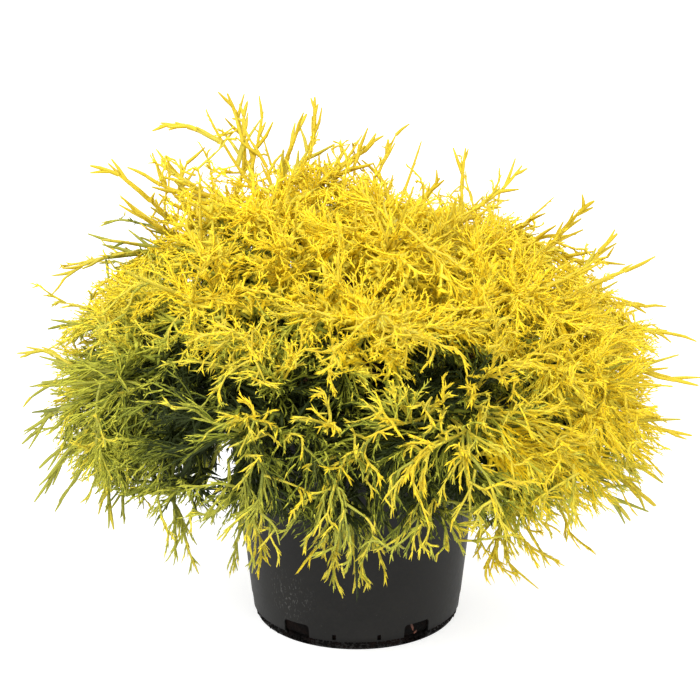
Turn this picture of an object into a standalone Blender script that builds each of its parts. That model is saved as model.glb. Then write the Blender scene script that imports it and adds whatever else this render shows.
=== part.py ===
"""A gold threadleaf cypress in a black nursery pot, in metres, +Z up.

The pot stands on z = 0 with its axis on Z, and -Y is its front. A short stem stands on the potting
mix, boughs leave it all round, and each carries one mass of thread-like foliage. The masses lie in
four tiers, and together they fill a low dome that weeps over the rim of the pot.
"""

import math
import random

import bmesh
import bpy
from mathutils import Matrix, Vector

SEED = 7
CLEARANCE = 0.0003
UP = Vector((0.0, 0.0, 1.0))

# The pot
POT_HEIGHT = 0.240
POT_BASE_RADIUS = 0.1075
POT_SLOPE = 0.105
POT_WALL = 0.0022
POT_FLOOR = 0.0030
POT_SIDES = 36
SEAM = 0.00001
FOOT_INSET = 0.0022
FOOT_HEIGHT = 0.0090
FOOT_SPREAD = 0.0008
EDGE_ROUNDING = 0.0020
LEDGE = 0.0012
LIP_HEIGHT = 0.014
LIP_DEPTH = 0.0045
SMOOTH_BELOW = math.radians(35.0)

# The pot's drain holes stand in pairs, each pair with two small notches between its holes
FRONT = math.radians(-90.0)
DRAIN_PAIRS = 3
CUTTER_REACH = (0.86, 1.12)
DRAIN = {"half_angle": math.radians(34.0), "width": 0.032, "low": -0.002, "high": 0.0245}
NOTCH = {"half_angle": math.radians(12.0), "width": 0.0040, "low": 0.0115, "high": 0.0180}

# The potting mix and the stem
MIX_TOP = 0.215
MIX_CROWNING = 0.004
MIX_BROW_RADIUS = 0.090
STEM_TOP = 0.352
STEM_LEAN = Vector((0.006, -0.003, 0.0))
STEM_FOOT_RADIUS = 0.0175
STEM_RADIUS = 0.0125
STEM_TIP_RADIUS = 0.0070
STEM_TOP_ROUNDING = 0.0020
FLARE_HEIGHT = 0.018
FLARE_SHARES = (0.0, 0.35, 1.0)
STEM_SHARES = (0.4, 0.7, 0.92, 1.0)
STEM_SIDES = 14

# The crown's furthest tips, measured from its heart. It bulges up to the left.
HEART = Vector((0.0, 0.0, 0.270))
CROWN_RADIUS = 0.343
CROWN_RISE = 0.232
CROWN_DROP = 0.172
UPPER_POWER = 2.0
LOWER_POWER = 4.0
PEAK_DIRECTION = Vector((-0.50, 0.02, 0.866)).normalized()
PEAK_GAIN = 0.25
PEAK_SHARPNESS = 7
LOWEST_TIP = 0.100
POT_MARGIN = 0.010

# Each tier of masses: name, how many, elevation and first azimuth from the heart in degrees, then
# for its boughs the height at the stem, and their ends' distance from the axis, height and arch
TIERS = (
    ("top", 3, 60.0, 176.0, 0.334, 0.050, 0.385, 0.014),
    ("upper", 6, 28.0, 215.0, 0.314, 0.108, 0.338, 0.014),
    ("outer", 8, 3.0, 247.5, 0.288, 0.150, 0.288, 0.014),
    ("skirt", 7, -33.0, 270.0, 0.261, 0.156, 0.259, 0.007),
)
BOUGH_ROOT_RADIUS = 0.0042
BOUGH_TIP_RADIUS = 0.0028
BOUGH_SIDES = 6
BOUGH_RINGS = 5
BOUGH_SWEEP = 0.009
BOUGH_STAGGER = 0.0035

# The foliage: fronds, each a tapering twig with pairs of threads along it. One frond, the leader,
# runs on from the bough, and the others leave it for targets spread over the crown.
TARGETS = 168
TARGET_DEPTH = 0.88
GOLDEN_ANGLE = math.pi * (3 - math.sqrt(5))
LEADER_BEND = 0.70
LEADER_RUN_ON = 0.020
LEADER_TIP_RADIUS = 0.0014
LEADER_THREADS = 0.055
LEADER_PAIRS = (0.54, 0.70, 0.86)
LEADER_ROLL = 0.4
TWIG_ROOTS = (0.40, 0.52, 0.28, 0.64, 0.16, 0.74)
TWIG_ROOT_RADIUS = 0.0023
TWIG_TIP_RADIUS = 0.0010
TWIG_THREADS = 0.047
TWIG_PAIRS = (0.43, 0.62, 0.81)
TWIG_ROLL = 0.9
TWIG_LEAN = 0.20
TWIG_ARCH = {"top": 0.12, "upper": 0.12, "outer": 0.12, "skirt": 0.20}
TWIG_SINK = 0.45
THREAD_ANGLE = math.radians(36.0)
THREAD_BASE = 0.0042
THREAD_TAPER = 0.42
THREAD_TILT = 0.28
THREAD_DROOP = (0.04, 0.14)
THREAD_SIZES = (1.0, 0.75, 0.5)
TERRITORY_GAP = 0.0016
TIP_SLACK = 1.01
WELD = 0.000003

# The slim tufted body round each leader, which the twigs stand out of. A station is a share of the
# leader and the body's size there.
PLUME_RADIUS = 0.0085
PLUME_STATIONS = ((0.20, 0.80), (0.42, 1.00), (0.64, 0.80))
PLUME_START = 0.06
PLUME_END = 0.88
PLUME_SIDES = 5
TUFT_OUT = 2.20
TUFT_IN = 0.60
TUFT_LEAN = 0.022
PLUME_STEP = 0.002
PLUME_GAP = 0.0030

COLOURS = {
    "pot": (0.028, 0.028, 0.028),
    "mix": (0.052, 0.028, 0.016),
    "bark": (0.150, 0.082, 0.045),
    "gold": (0.880, 0.600, 0.040),
    "yellow": (0.780, 0.640, 0.060),
    "lime": (0.420, 0.460, 0.050),
}


def clear_scene():
    for old in list(bpy.data.objects):
        bpy.data.objects.remove(old)


def material(name, colour, roughness):
    """A Principled BSDF in one colour, with no metal in it."""
    made = bpy.data.materials.new(name)
    made.use_nodes = True
    shader = made.node_tree.nodes["Principled BSDF"]
    shader.inputs["Base Color"].default_value = (*COLOURS[colour], 1.0)
    shader.inputs["Roughness"].default_value = roughness
    shader.inputs["Metallic"].default_value = 0.0
    made.diffuse_color = (*COLOURS[colour], 1.0)
    return made


def loose_object(name, verts, faces, finish=None):
    """An object that isn't in the scene yet."""
    mesh = bpy.data.meshes.new(name)
    mesh.from_pydata([tuple(v) for v in verts], [], faces)
    if finish:
        mesh.materials.append(finish)
    return bpy.data.objects.new(name, mesh)


def new_object(name, verts, faces, finish=None):
    made = loose_object(name, verts, faces, finish)
    bpy.context.scene.collection.objects.link(made)
    return made


def smooth(obj):
    """Shades a round piece smooth, apart from its sharp edges."""
    obj.data.shade_smooth()
    obj.data.set_sharp_from_angle(angle=SMOOTH_BELOW)
    return obj


def cutter(obj):
    """Marks a shape that only cuts another one."""
    obj.hide_render = True
    obj.display_type = "WIRE"
    return obj


def cut(obj, tool):
    boolean = obj.modifiers.new("cut_" + tool.name, "BOOLEAN")
    boolean.operation = "DIFFERENCE"
    boolean.solver = "EXACT"
    boolean.object = tool


# The pot and the mix in it

def turned(name, profile, finish):
    """A solid of revolution from (radius, height) points, which start and end on the axis."""
    work = bmesh.new()
    verts = [work.verts.new((radius, 0.0, height)) for radius, height in profile]
    edges = [work.edges.new(pair) for pair in zip(verts, verts[1:])]
    centre = Vector((0.0, 0.0, 0.0))
    around = 2 * math.pi
    bmesh.ops.spin(work, geom=verts + edges, axis=UP, cent=centre, steps=POT_SIDES, angle=around)
    bmesh.ops.remove_doubles(work, verts=work.verts, dist=SEAM)
    bmesh.ops.recalc_face_normals(work, faces=work.faces)
    mesh = bpy.data.meshes.new(name)
    work.to_mesh(mesh)
    work.free()
    mesh.materials.append(finish)
    made = bpy.data.objects.new(name, mesh)
    bpy.context.scene.collection.objects.link(made)
    return smooth(made)


def pot_outside(height):
    """Outer radius of the pot's wall at a height."""
    return POT_BASE_RADIUS + POT_SLOPE * height


def pot_inside(height):
    """Inner radius of the pot's wall at a height."""
    return pot_outside(height) - POT_WALL


def foot_inside():
    """The inside of the foot as (radius, height) points, from its floor up to the wall."""
    foot = POT_BASE_RADIUS - FOOT_INSET - POT_WALL
    above = FOOT_HEIGHT + POT_FLOOR
    return (foot, POT_FLOOR), (foot + FOOT_SPREAD, FOOT_HEIGHT), (pot_inside(above), above)


def drain_cutters():
    """Boxes that cut the drain holes across the pot's lower edge, and the notches between them."""
    near, far = (POT_BASE_RADIUS * share for share in CUTTER_REACH)
    for pair in range(DRAIN_PAIRS):
        for side in (-1, 1):
            for kind, hole in (("drain", DRAIN), ("notch", NOTCH)):
                angle = FRONT + 2 * math.pi * pair / DRAIN_PAIRS + side * hole["half_angle"]
                size = (far - near, hole["width"], hole["high"] - hole["low"])
                work = bmesh.new()
                bmesh.ops.create_cube(work, matrix=Matrix.Diagonal((*size, 1.0)))
                mesh = bpy.data.meshes.new(f"{kind}_{pair}_{side + 1}")
                work.to_mesh(mesh)
                work.free()
                box = bpy.data.objects.new(mesh.name, mesh)
                middle = Vector(((near + far) / 2, 0.0, (hole["low"] + hole["high"]) / 2))
                box.rotation_euler.z = angle
                box.location = Matrix.Rotation(angle, 3, "Z") @ middle
                bpy.context.scene.collection.objects.link(box)
                yield cutter(box)


def make_pot(finish):
    """The moulded pot: flat underside, a foot set in under the wall, and a thick lip at the top."""
    rim = pot_outside(POT_HEIGHT) + LIP_DEPTH
    lip = POT_HEIGHT - LIP_HEIGHT
    foot = POT_BASE_RADIUS - FOOT_INSET
    profile = (
        (0.0, 0.0),
        (foot - EDGE_ROUNDING, 0.0),
        (foot, EDGE_ROUNDING),
        (foot + FOOT_SPREAD, FOOT_HEIGHT),
        (pot_outside(FOOT_HEIGHT), FOOT_HEIGHT + LEDGE),
        (pot_outside(lip), lip),
        (rim - LEDGE / 2, lip + LEDGE),
        (rim, POT_HEIGHT - EDGE_ROUNDING),
        (rim - EDGE_ROUNDING, POT_HEIGHT),
        (pot_inside(POT_HEIGHT), POT_HEIGHT - LEDGE),
        *reversed(foot_inside()),
        (0.0, POT_FLOOR),
    )
    pot = turned("pot", profile, finish)
    for tool in drain_cutters():
        cut(pot, tool)
    return pot


def make_mix(finish):
    """The bark-based potting mix, a little crowned, clear of the pot by a hair all round."""
    shoulder = MIX_TOP - MIX_CROWNING
    profile = (
        (0.0, POT_FLOOR + CLEARANCE),
        *((radius - CLEARANCE, height + CLEARANCE) for radius, height in foot_inside()),
        (pot_inside(shoulder) - CLEARANCE, shoulder),
        (MIX_BROW_RADIUS, MIX_TOP - MIX_CROWNING / 2),
        (STEM_FOOT_RADIUS + MIX_CROWNING, MIX_TOP),
        (0.0, MIX_TOP),
    )
    return turned("potting_mix", profile, finish)


# The stem and other limbs

def frame_along(tangent, hint):
    """Two unit vectors square to the tangent, the first near the hint."""
    first = hint - tangent * hint.dot(tangent)
    if first.length < 1e-6:
        first = tangent.orthogonal()
    first.normalize()
    return first, tangent.cross(first)


def limb(points, radii, sides):
    """Vertices and faces of a tapering limb with flat ends."""
    verts, faces = [], []
    hint = (points[1] - points[0]).orthogonal()
    for i, (point, radius) in enumerate(zip(points, radii)):
        heading = points[min(i + 1, len(points) - 1)] - points[max(i - 1, 0)]
        hint, across = frame_along(heading.normalized(), hint)
        for k in range(sides):
            angle = 2 * math.pi * k / sides
            verts.append(point + (hint * math.cos(angle) + across * math.sin(angle)) * radius)
    for low in range(0, len(verts) - sides, sides):
        for k in range(sides):
            n = (k + 1) % sides
            faces.append((low + k, low + n, low + sides + n, low + sides + k))
    faces.append(tuple(reversed(range(sides))))
    faces.append(tuple(range(len(verts) - sides, len(verts))))
    return verts, faces


def curve_point(curve, share):
    """Point at a share of the way along a quadratic curve of three points."""
    a, b, c = curve
    return a * (1 - share) ** 2 + b * (2 * share * (1 - share)) + c * share**2


def curve_heading(curve, share):
    a, b, c = curve
    return ((b - a) * (1 - share) + (c - b) * share).normalized()


def sampled(curve, count):
    """Evenly spaced points along a quadratic curve, both ends among them."""
    return [curve_point(curve, i / (count - 1)) for i in range(count)]


def stem_point(height):
    """The stem's axis at a height."""
    return STEM_LEAN * ((height - MIX_TOP) / (STEM_TOP - MIX_TOP)) + UP * height


def stem_radius(height):
    share = (height - MIX_TOP) / (STEM_TOP - MIX_TOP)
    flare = max(0.0, 1 - (height - MIX_TOP) / FLARE_HEIGHT) ** 2
    body = STEM_RADIUS + (STEM_TIP_RADIUS - STEM_RADIUS) * share
    return body + (STEM_FOOT_RADIUS - STEM_RADIUS) * flare


def make_stem(name, grow, finish=None):
    """The stem, flat at both ends, or a copy larger all round by grow that trims the boughs."""
    foot = MIX_TOP + CLEARANCE
    heights = [foot + FLARE_HEIGHT * share for share in FLARE_SHARES]
    heights += [foot + (STEM_TOP - foot) * share for share in STEM_SHARES]
    points = [stem_point(height) for height in heights]
    radii = [stem_radius(height) + grow for height in heights]
    radii[-1] -= STEM_TOP_ROUNDING
    verts, faces = limb(points, radii, STEM_SIDES)
    for vert in verts[:STEM_SIDES]:
        vert.z = heights[0] - grow
    for vert in verts[-STEM_SIDES:]:
        vert.z = heights[-1] + grow
    return smooth(new_object(name, verts, faces, finish))


# The crown's outline and its masses

def crown_reach(direction):
    """How far the furthest tips stand from the crown's heart that way."""
    flat = math.hypot(direction.x, direction.y)
    rise, power = (CROWN_RISE, UPPER_POWER) if direction.z >= 0 else (CROWN_DROP, LOWER_POWER)
    total = (flat / CROWN_RADIUS) ** power + (abs(direction.z) / rise) ** power
    peak = max(0.0, direction.dot(PEAK_DIRECTION)) ** PEAK_SHARPNESS
    return total ** (-1 / power) * (1 + PEAK_GAIN * peak)


def clear_of_pot(point, margin):
    """True if foliage can hang there: beside the pot or above it, and not under the skirt."""
    beside = math.hypot(point.x, point.y) > pot_outside(POT_HEIGHT) + LIP_DEPTH + POT_MARGIN
    return point.z >= LOWEST_TIP + margin and (beside or point.z > POT_HEIGHT + POT_MARGIN)


def inside_crown(point):
    outward = point - HEART
    return outward.length < crown_reach(outward.normalized()) * TIP_SLACK


class Mass:
    """One bough with the mass of foliage that it carries, and the line that both follow."""

    def __init__(self, tier, index):
        self.tier, count, elevation, first, height, end_radius, end_height, arch = tier
        azimuth = math.radians(first + 360.0 * index / count)
        rise = math.radians(elevation)
        flat = Vector((math.cos(azimuth), math.sin(azimuth), 0.0))
        outward = flat * math.cos(rise) + UP * math.sin(rise)
        self.name = f"{self.tier}_{index + 1}"
        root = stem_point(height + BOUGH_STAGGER * (-1) ** index)
        end = flat * end_radius + UP * end_height
        sweep = UP.cross(flat) * (BOUGH_SWEEP * (-1) ** (index // 2))
        self.bough = sampled((root, (root + end) / 2 + UP * arch + sweep, end), BOUGH_RINGS)
        self.ahead = (self.bough[-1] - self.bough[-2]).normalized()
        start = end + self.ahead * CLEARANCE
        reach = crown_reach(outward)
        bend = start.lerp(HEART + outward * (reach * LEADER_BEND), 0.9) + self.ahead * LEADER_RUN_ON
        self.leader = (start, bend, HEART + outward * reach)
        self.line = self.bough + sampled(self.leader, BOUGH_RINGS)[1:]

    def distance(self, point):
        """Shortest distance from a point to the mass's line."""
        best = math.inf
        for a, b in zip(self.line, self.line[1:]):
            run = b - a
            share = min(1.0, max(0.0, (point - a).dot(run) / run.length_squared))
            best = min(best, (point - a - run * share).length)
        return best


class Crown:
    """All the masses, and the rule that keeps each one to its own space."""

    def __init__(self):
        self.masses = [Mass(tier, index) for tier in TIERS for index in range(tier[1])]

    def nearest(self, point):
        return min(self.masses, key=lambda mass: mass.distance(point))

    def owns(self, mass, point, margin):
        """True if the point is nearer to this mass's line than to any other, with room to spare."""
        own = mass.distance(point) + 2 * margin
        others = (other for other in self.masses if other is not mass)
        return clear_of_pot(point, margin) and all(own < other.distance(point) for other in others)


# The foliage of one mass

def plume(crown, mass):
    """A tapering body round the leader, its rings set in and out by turns, so that tufts lean
    forward all over it. It stops short of the edge of the mass's space."""
    rng = random.Random(f"{SEED} plume {mass.name}")
    hint = UP
    verts = [curve_point(mass.leader, PLUME_START)]
    for i, (share, size) in enumerate(PLUME_STATIONS):
        middle, heading = curve_point(mass.leader, share), curve_heading(mass.leader, share)
        hint, across = frame_along(heading, hint)
        for k in range(PLUME_SIDES):
            angle = 2 * math.pi * (k + i / 2) / PLUME_SIDES
            outward = hint * math.cos(angle) + across * math.sin(angle)
            tuft = (k + i) % 2 == 0
            wanted = PLUME_RADIUS * size * (TUFT_OUT if tuft else TUFT_IN) * rng.uniform(0.85, 1.12)
            start = middle + heading * (TUFT_LEAN * rng.uniform(0.7, 1.2) if tuft else 0.0)
            reached = PLUME_STEP * 2
            while reached < wanted and crown.owns(mass, start + outward * reached, PLUME_GAP):
                reached += PLUME_STEP
            verts.append(start + outward * min(reached, wanted))
    verts.append(curve_point(mass.leader, PLUME_END))
    faces = []
    last = len(verts) - 1
    for k in range(PLUME_SIDES):
        n = (k + 1) % PLUME_SIDES
        faces.append((0, 1 + n, 1 + k))
        for low in range(1, last - PLUME_SIDES, PLUME_SIDES):
            high = low + PLUME_SIDES
            faces += [(low + k, low + n, high + k), (low + n, high + n, high + k)]
        faces.append((last, last - PLUME_SIDES + k, last - PLUME_SIDES + n))
    return loose_object(mass.name + "_plume", verts, faces)


class Frond:
    """A three-sided twig along a curve, flat below, with threads pulled out of its two edges."""

    def __init__(self, crown, mass, curve, roll, radii, first_heading=None):
        self.crown, self.mass, self.curve, self.radii = crown, mass, curve, radii
        self.first_heading = first_heading or curve_heading(curve, 0.0)
        level, upright = frame_along(curve_heading(curve, 0.5), self.first_heading.cross(UP))
        self.side = level * math.cos(roll) + upright * math.sin(roll)
        self.length = (curve[1] - curve[0]).length + (curve[2] - curve[1]).length
        self.verts, self.faces = [], []

    def add_ring(self, share):
        """Adds the ring at a share of the way along and returns its vertex numbers."""
        point = curve_point(self.curve, share)
        heading = curve_heading(self.curve, share) if share else self.first_heading
        self.side, up = frame_along(heading, self.side)
        radius = self.radii[0] + (self.radii[1] - self.radii[0]) * share
        low = point - up * (radius * TWIG_SINK)
        first = len(self.verts)
        self.verts += [low + self.side * radius, point + up * radius, low - self.side * radius]
        return first, first + 1, first + 2

    def thread_tip(self, root, way, share, wanted, rng):
        """Where a thread from this root ends, or None if it can't stay in the mass's space."""
        heading = curve_heading(self.curve, share)
        angle = THREAD_ANGLE * rng.uniform(0.75, 1.25)
        aim = heading * math.cos(angle) + self.side * (way * math.sin(angle))
        aim = (aim + heading.cross(self.side) * rng.uniform(-THREAD_TILT, THREAD_TILT)).normalized()
        for size in THREAD_SIZES:
            length = wanted * size
            tip = root + aim * length - UP * (length * rng.uniform(*THREAD_DROOP))
            middle = root.lerp(tip, 0.5)
            kept = all(self.crown.owns(self.mass, point, TERRITORY_GAP) for point in (tip, middle))
            if kept and inside_crown(tip):
                return tip
        return None

    def join(self, low, high):
        """A plain stretch of twig between two rings."""
        for k in range(3):
            n = (k + 1) % 3
            self.faces += [(low[k], low[n], high[n]), (low[k], high[n], high[k])]

    def join_with_threads(self, low, high, tips):
        """The short stretch that a pair of threads leaves from: tips are the right and left one."""
        (right, top, left), (right2, top2, left2) = low, high
        self.faces += [(left, right, right2), (left, right2, left2)]
        x, y = (self.add_tip(tip) for tip in tips)
        if x is None:
            self.faces += [(right, top, top2), (right, top2, right2)]
        else:
            self.faces += [(x, right, top), (x, top, top2), (x, top2, right2), (right, x, right2)]
        if y is None:
            self.faces += [(top, left, left2), (top, left2, top2)]
        else:
            self.faces += [(y, left2, top2), (y, top2, top), (y, top, left), (left2, y, left)]

    def add_tip(self, tip):
        if tip is None:
            return None
        self.verts.append(tip)
        return len(self.verts) - 1

    def grow(self, name, pairs, thread_length, rng):
        ring = self.add_ring(0.0)
        self.faces.append(tuple(reversed(ring)))
        for k, share in enumerate(pairs):
            low = self.add_ring(share)
            self.join(ring, low)
            ring = self.add_ring(share + THREAD_BASE / self.length)
            wanted = thread_length * (1 - THREAD_TAPER * k / (len(pairs) - 1))
            tips = []
            for way, corner in ((1, 0), (-1, 2)):
                root = (self.verts[low[corner]] + self.verts[ring[corner]]) / 2
                tips.append(self.thread_tip(root, way, share, wanted * rng.uniform(0.8, 1.1), rng))
            self.join_with_threads(low, ring, tips)
        end = self.add_tip(self.curve[2])
        self.faces += [(ring[k], ring[(k + 1) % 3], end) for k in range(3)]
        return loose_object(name, self.verts, self.faces)


def twig_curve(crown, mass, target):
    """A twig that leaves the leader at an acute angle, arches, and ends at its target with no part
    outside the mass's space, or None."""
    for share in TWIG_ROOTS:
        root = curve_point(mass.leader, share)
        span = (target - root).length
        bend = root.lerp(target, 0.5) + curve_heading(mass.leader, share) * (TWIG_LEAN * span)
        curve = (root, bend + UP * (TWIG_ARCH[mass.tier] * span), target)
        margin = TWIG_TIP_RADIUS + TERRITORY_GAP
        kept = all(crown.owns(mass, point, margin) for point in sampled(curve, 8)[1:])
        if kept and span > TWIG_THREADS:
            return curve
    return None


def keep_outer_shell(mesh):
    """Keeps the mesh's largest closed shell. A sealed hollow is filled by this, and a scrap goes."""
    work = bmesh.new()
    work.from_mesh(mesh)
    bmesh.ops.triangulate(work, faces=work.faces)
    bmesh.ops.dissolve_degenerate(work, edges=work.edges, dist=WELD)
    left = set(work.faces)
    shells = []
    while left:
        waiting = [left.pop()]
        shell = []
        while waiting:
            face = waiting.pop()
            shell.append(face)
            for edge in face.edges:
                if len(edge.link_faces) == 2:
                    across = [other for other in edge.link_faces if other in left]
                    left.difference_update(across)
                    waiting += across
        shells.append(shell)
    shells.sort(key=len)
    for shell in shells[:-1]:
        bmesh.ops.delete(work, geom=shell, context="FACES")
    work.to_mesh(mesh)
    work.free()


def fuse(name, first, others, finish):
    """One closed body from overlapping pieces, by a Boolean union that is applied at once."""
    scene = bpy.context.scene.collection
    gathered = bpy.data.collections.new(name + "_pieces")
    scene.children.link(gathered)
    for other in others:
        gathered.objects.link(other)
    scene.objects.link(first)
    union = first.modifiers.new("union", "BOOLEAN")
    union.operation = "UNION"
    union.solver = "EXACT"
    union.operand_type = "COLLECTION"
    union.collection = gathered
    graph = bpy.context.evaluated_depsgraph_get()
    mesh = bpy.data.meshes.new_from_object(first.evaluated_get(graph))
    mesh.name = name
    for used in [first, *others]:
        bpy.data.objects.remove(used)
    bpy.data.collections.remove(gathered)
    keep_outer_shell(mesh)
    mesh.materials.clear()
    mesh.materials.append(finish)
    scene.objects.link(bpy.data.objects.new(name, mesh))


def crown_targets():
    """Points spread evenly over the crown's outline, just inside its furthest tips."""
    rng = random.Random(f"{SEED} targets")
    for i in range(TARGETS):
        height = 1 - 2 * (i + 0.5) / TARGETS
        level = math.sqrt(1 - height * height)
        angle = GOLDEN_ANGLE * i
        direction = Vector((level * math.cos(angle), level * math.sin(angle), height))
        target = HEART + direction * (crown_reach(direction) * rng.uniform(TARGET_DEPTH, 1.0))
        if clear_of_pot(target, TERRITORY_GAP):
            yield target


def make_foliage(crown, finishes):
    """Gives each target to the mass whose space it lies in, then grows and fuses every mass."""
    twigs = {mass.name: [] for mass in crown.masses}
    for target in crown_targets():
        mass = crown.nearest(target)
        curve = twig_curve(crown, mass, target)
        if curve:
            twigs[mass.name].append(curve)
    for mass in crown.masses:
        rng = random.Random(f"{SEED} {mass.name}")
        pieces = [plume(crown, mass)]
        for n, curve in enumerate(twigs[mass.name]):
            roll = rng.uniform(-TWIG_ROLL, TWIG_ROLL)
            frond = Frond(crown, mass, curve, roll, (TWIG_ROOT_RADIUS, TWIG_TIP_RADIUS))
            pieces.append(frond.grow(f"{mass.name}_twig_{n}", TWIG_PAIRS, TWIG_THREADS, rng))
        roll = rng.uniform(-LEADER_ROLL, LEADER_ROLL)
        leader = Frond(crown, mass, mass.leader, roll, (BOUGH_TIP_RADIUS, LEADER_TIP_RADIUS), mass.ahead)
        grown = leader.grow(mass.name + "_leader", LEADER_PAIRS, LEADER_THREADS, rng)
        fuse("foliage_" + mass.name, grown, pieces, finishes[mass.tier])


def make_boughs(crown, stem_clearance, finish):
    """One tapering bough for each mass, its root trimmed to the stem's side."""
    taper = (BOUGH_TIP_RADIUS - BOUGH_ROOT_RADIUS) / (BOUGH_RINGS - 1)
    radii = [BOUGH_ROOT_RADIUS + taper * i for i in range(BOUGH_RINGS)]
    for mass in crown.masses:
        verts, faces = limb(mass.bough, radii, BOUGH_SIDES)
        cut(smooth(new_object("bough_" + mass.name, verts, faces, finish)), stem_clearance)


def main():
    clear_scene()
    make_pot(material("pot_plastic", "pot", 0.55))
    make_mix(material("potting_mix", "mix", 0.95))
    bark = material("bark", "bark", 0.85)
    make_stem("stem", 0.0, bark)
    crown = Crown()
    make_boughs(crown, cutter(make_stem("stem_clearance", CLEARANCE)), bark)
    gold = material("foliage_gold", "gold", 0.6)
    yellow = material("foliage_yellow", "yellow", 0.6)
    lime = material("foliage_lime", "lime", 0.6)
    make_foliage(crown, {"top": gold, "upper": gold, "outer": yellow, "skirt": lime})


main()
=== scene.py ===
import math

import bmesh
import bpy
import numpy as np
from mathutils import Matrix, Vector


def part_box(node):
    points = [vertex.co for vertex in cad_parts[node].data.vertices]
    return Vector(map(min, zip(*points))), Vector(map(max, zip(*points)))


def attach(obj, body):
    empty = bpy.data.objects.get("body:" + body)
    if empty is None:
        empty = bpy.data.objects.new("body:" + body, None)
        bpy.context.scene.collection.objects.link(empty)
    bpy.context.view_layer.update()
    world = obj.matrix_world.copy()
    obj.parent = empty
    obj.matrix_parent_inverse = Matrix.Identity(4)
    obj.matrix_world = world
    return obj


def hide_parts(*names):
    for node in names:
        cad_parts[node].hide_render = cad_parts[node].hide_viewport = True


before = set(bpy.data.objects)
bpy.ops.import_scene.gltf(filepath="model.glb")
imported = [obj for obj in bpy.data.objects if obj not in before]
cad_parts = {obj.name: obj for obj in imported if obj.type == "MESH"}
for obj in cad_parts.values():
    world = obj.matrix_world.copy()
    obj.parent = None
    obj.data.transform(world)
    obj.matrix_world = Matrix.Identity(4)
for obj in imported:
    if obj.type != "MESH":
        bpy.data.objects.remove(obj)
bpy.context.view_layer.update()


# The pot is a black nursery container, moulded in one thin piece of plastic with a matt grain. Its
# lip is rolled outwards and its foot is set in under the wall. Drain holes are cut across the lower
# edge in three pairs, with two small notches between the holes of a pair.

pot_low, pot_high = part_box("pot")
POT_HEIGHT = pot_high.z
RIM_RADIUS = pot_high.x
POT_BASE_RADIUS = 0.1075
POT_SLOPE = 0.105
POT_WALL = 0.0022
POT_FLOOR = 0.0030
POT_STEPS = 144
FOOT_INSET = 0.0022
FOOT_HEIGHT = 0.0090
FOOT_SPREAD = 0.0008
LEDGE = 0.0012
LIP_HEIGHT = 0.014
EDGE = 0.0020
DRAIN = {"half_angle": 34.0, "width": 0.030, "low": 0.0012, "high": 0.0240, "corner": 0.0035}
NOTCH = {"half_angle": 12.0, "width": 0.0040, "low": 0.0115, "high": 0.0175, "corner": 0.0008}


class Signal:
    """An output of a material's node. Operators on it add Math nodes."""

    def __init__(self, finish, socket):
        self.finish = finish
        self.socket = socket

    def maths(self, operation, first, second=0.0):
        settings = {"operation": operation}
        return self.finish.node("ShaderNodeMath", "Value", settings, {0: first, 1: second})

    def __add__(self, other):
        return self.maths("ADD", self, other)

    def __sub__(self, other):
        return self.maths("SUBTRACT", self, other)

    def __mul__(self, other):
        return self.maths("MULTIPLY", self, other)

    def __truediv__(self, other):
        return self.maths("DIVIDE", self, other)

    def __pow__(self, other):
        return self.maths("POWER", self, other)

    def __gt__(self, other):
        return self.maths("GREATER_THAN", self, other)

    def __lt__(self, other):
        return self.maths("LESS_THAN", self, other)

    def __rsub__(self, other):
        return self.maths("SUBTRACT", other, self)

    __radd__ = __add__
    __rmul__ = __mul__

    def clamped(self):
        """The value kept between 0 and 1."""
        return self.maths("MAXIMUM", self.maths("MINIMUM", self, 1.0), 0.0)


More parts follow.
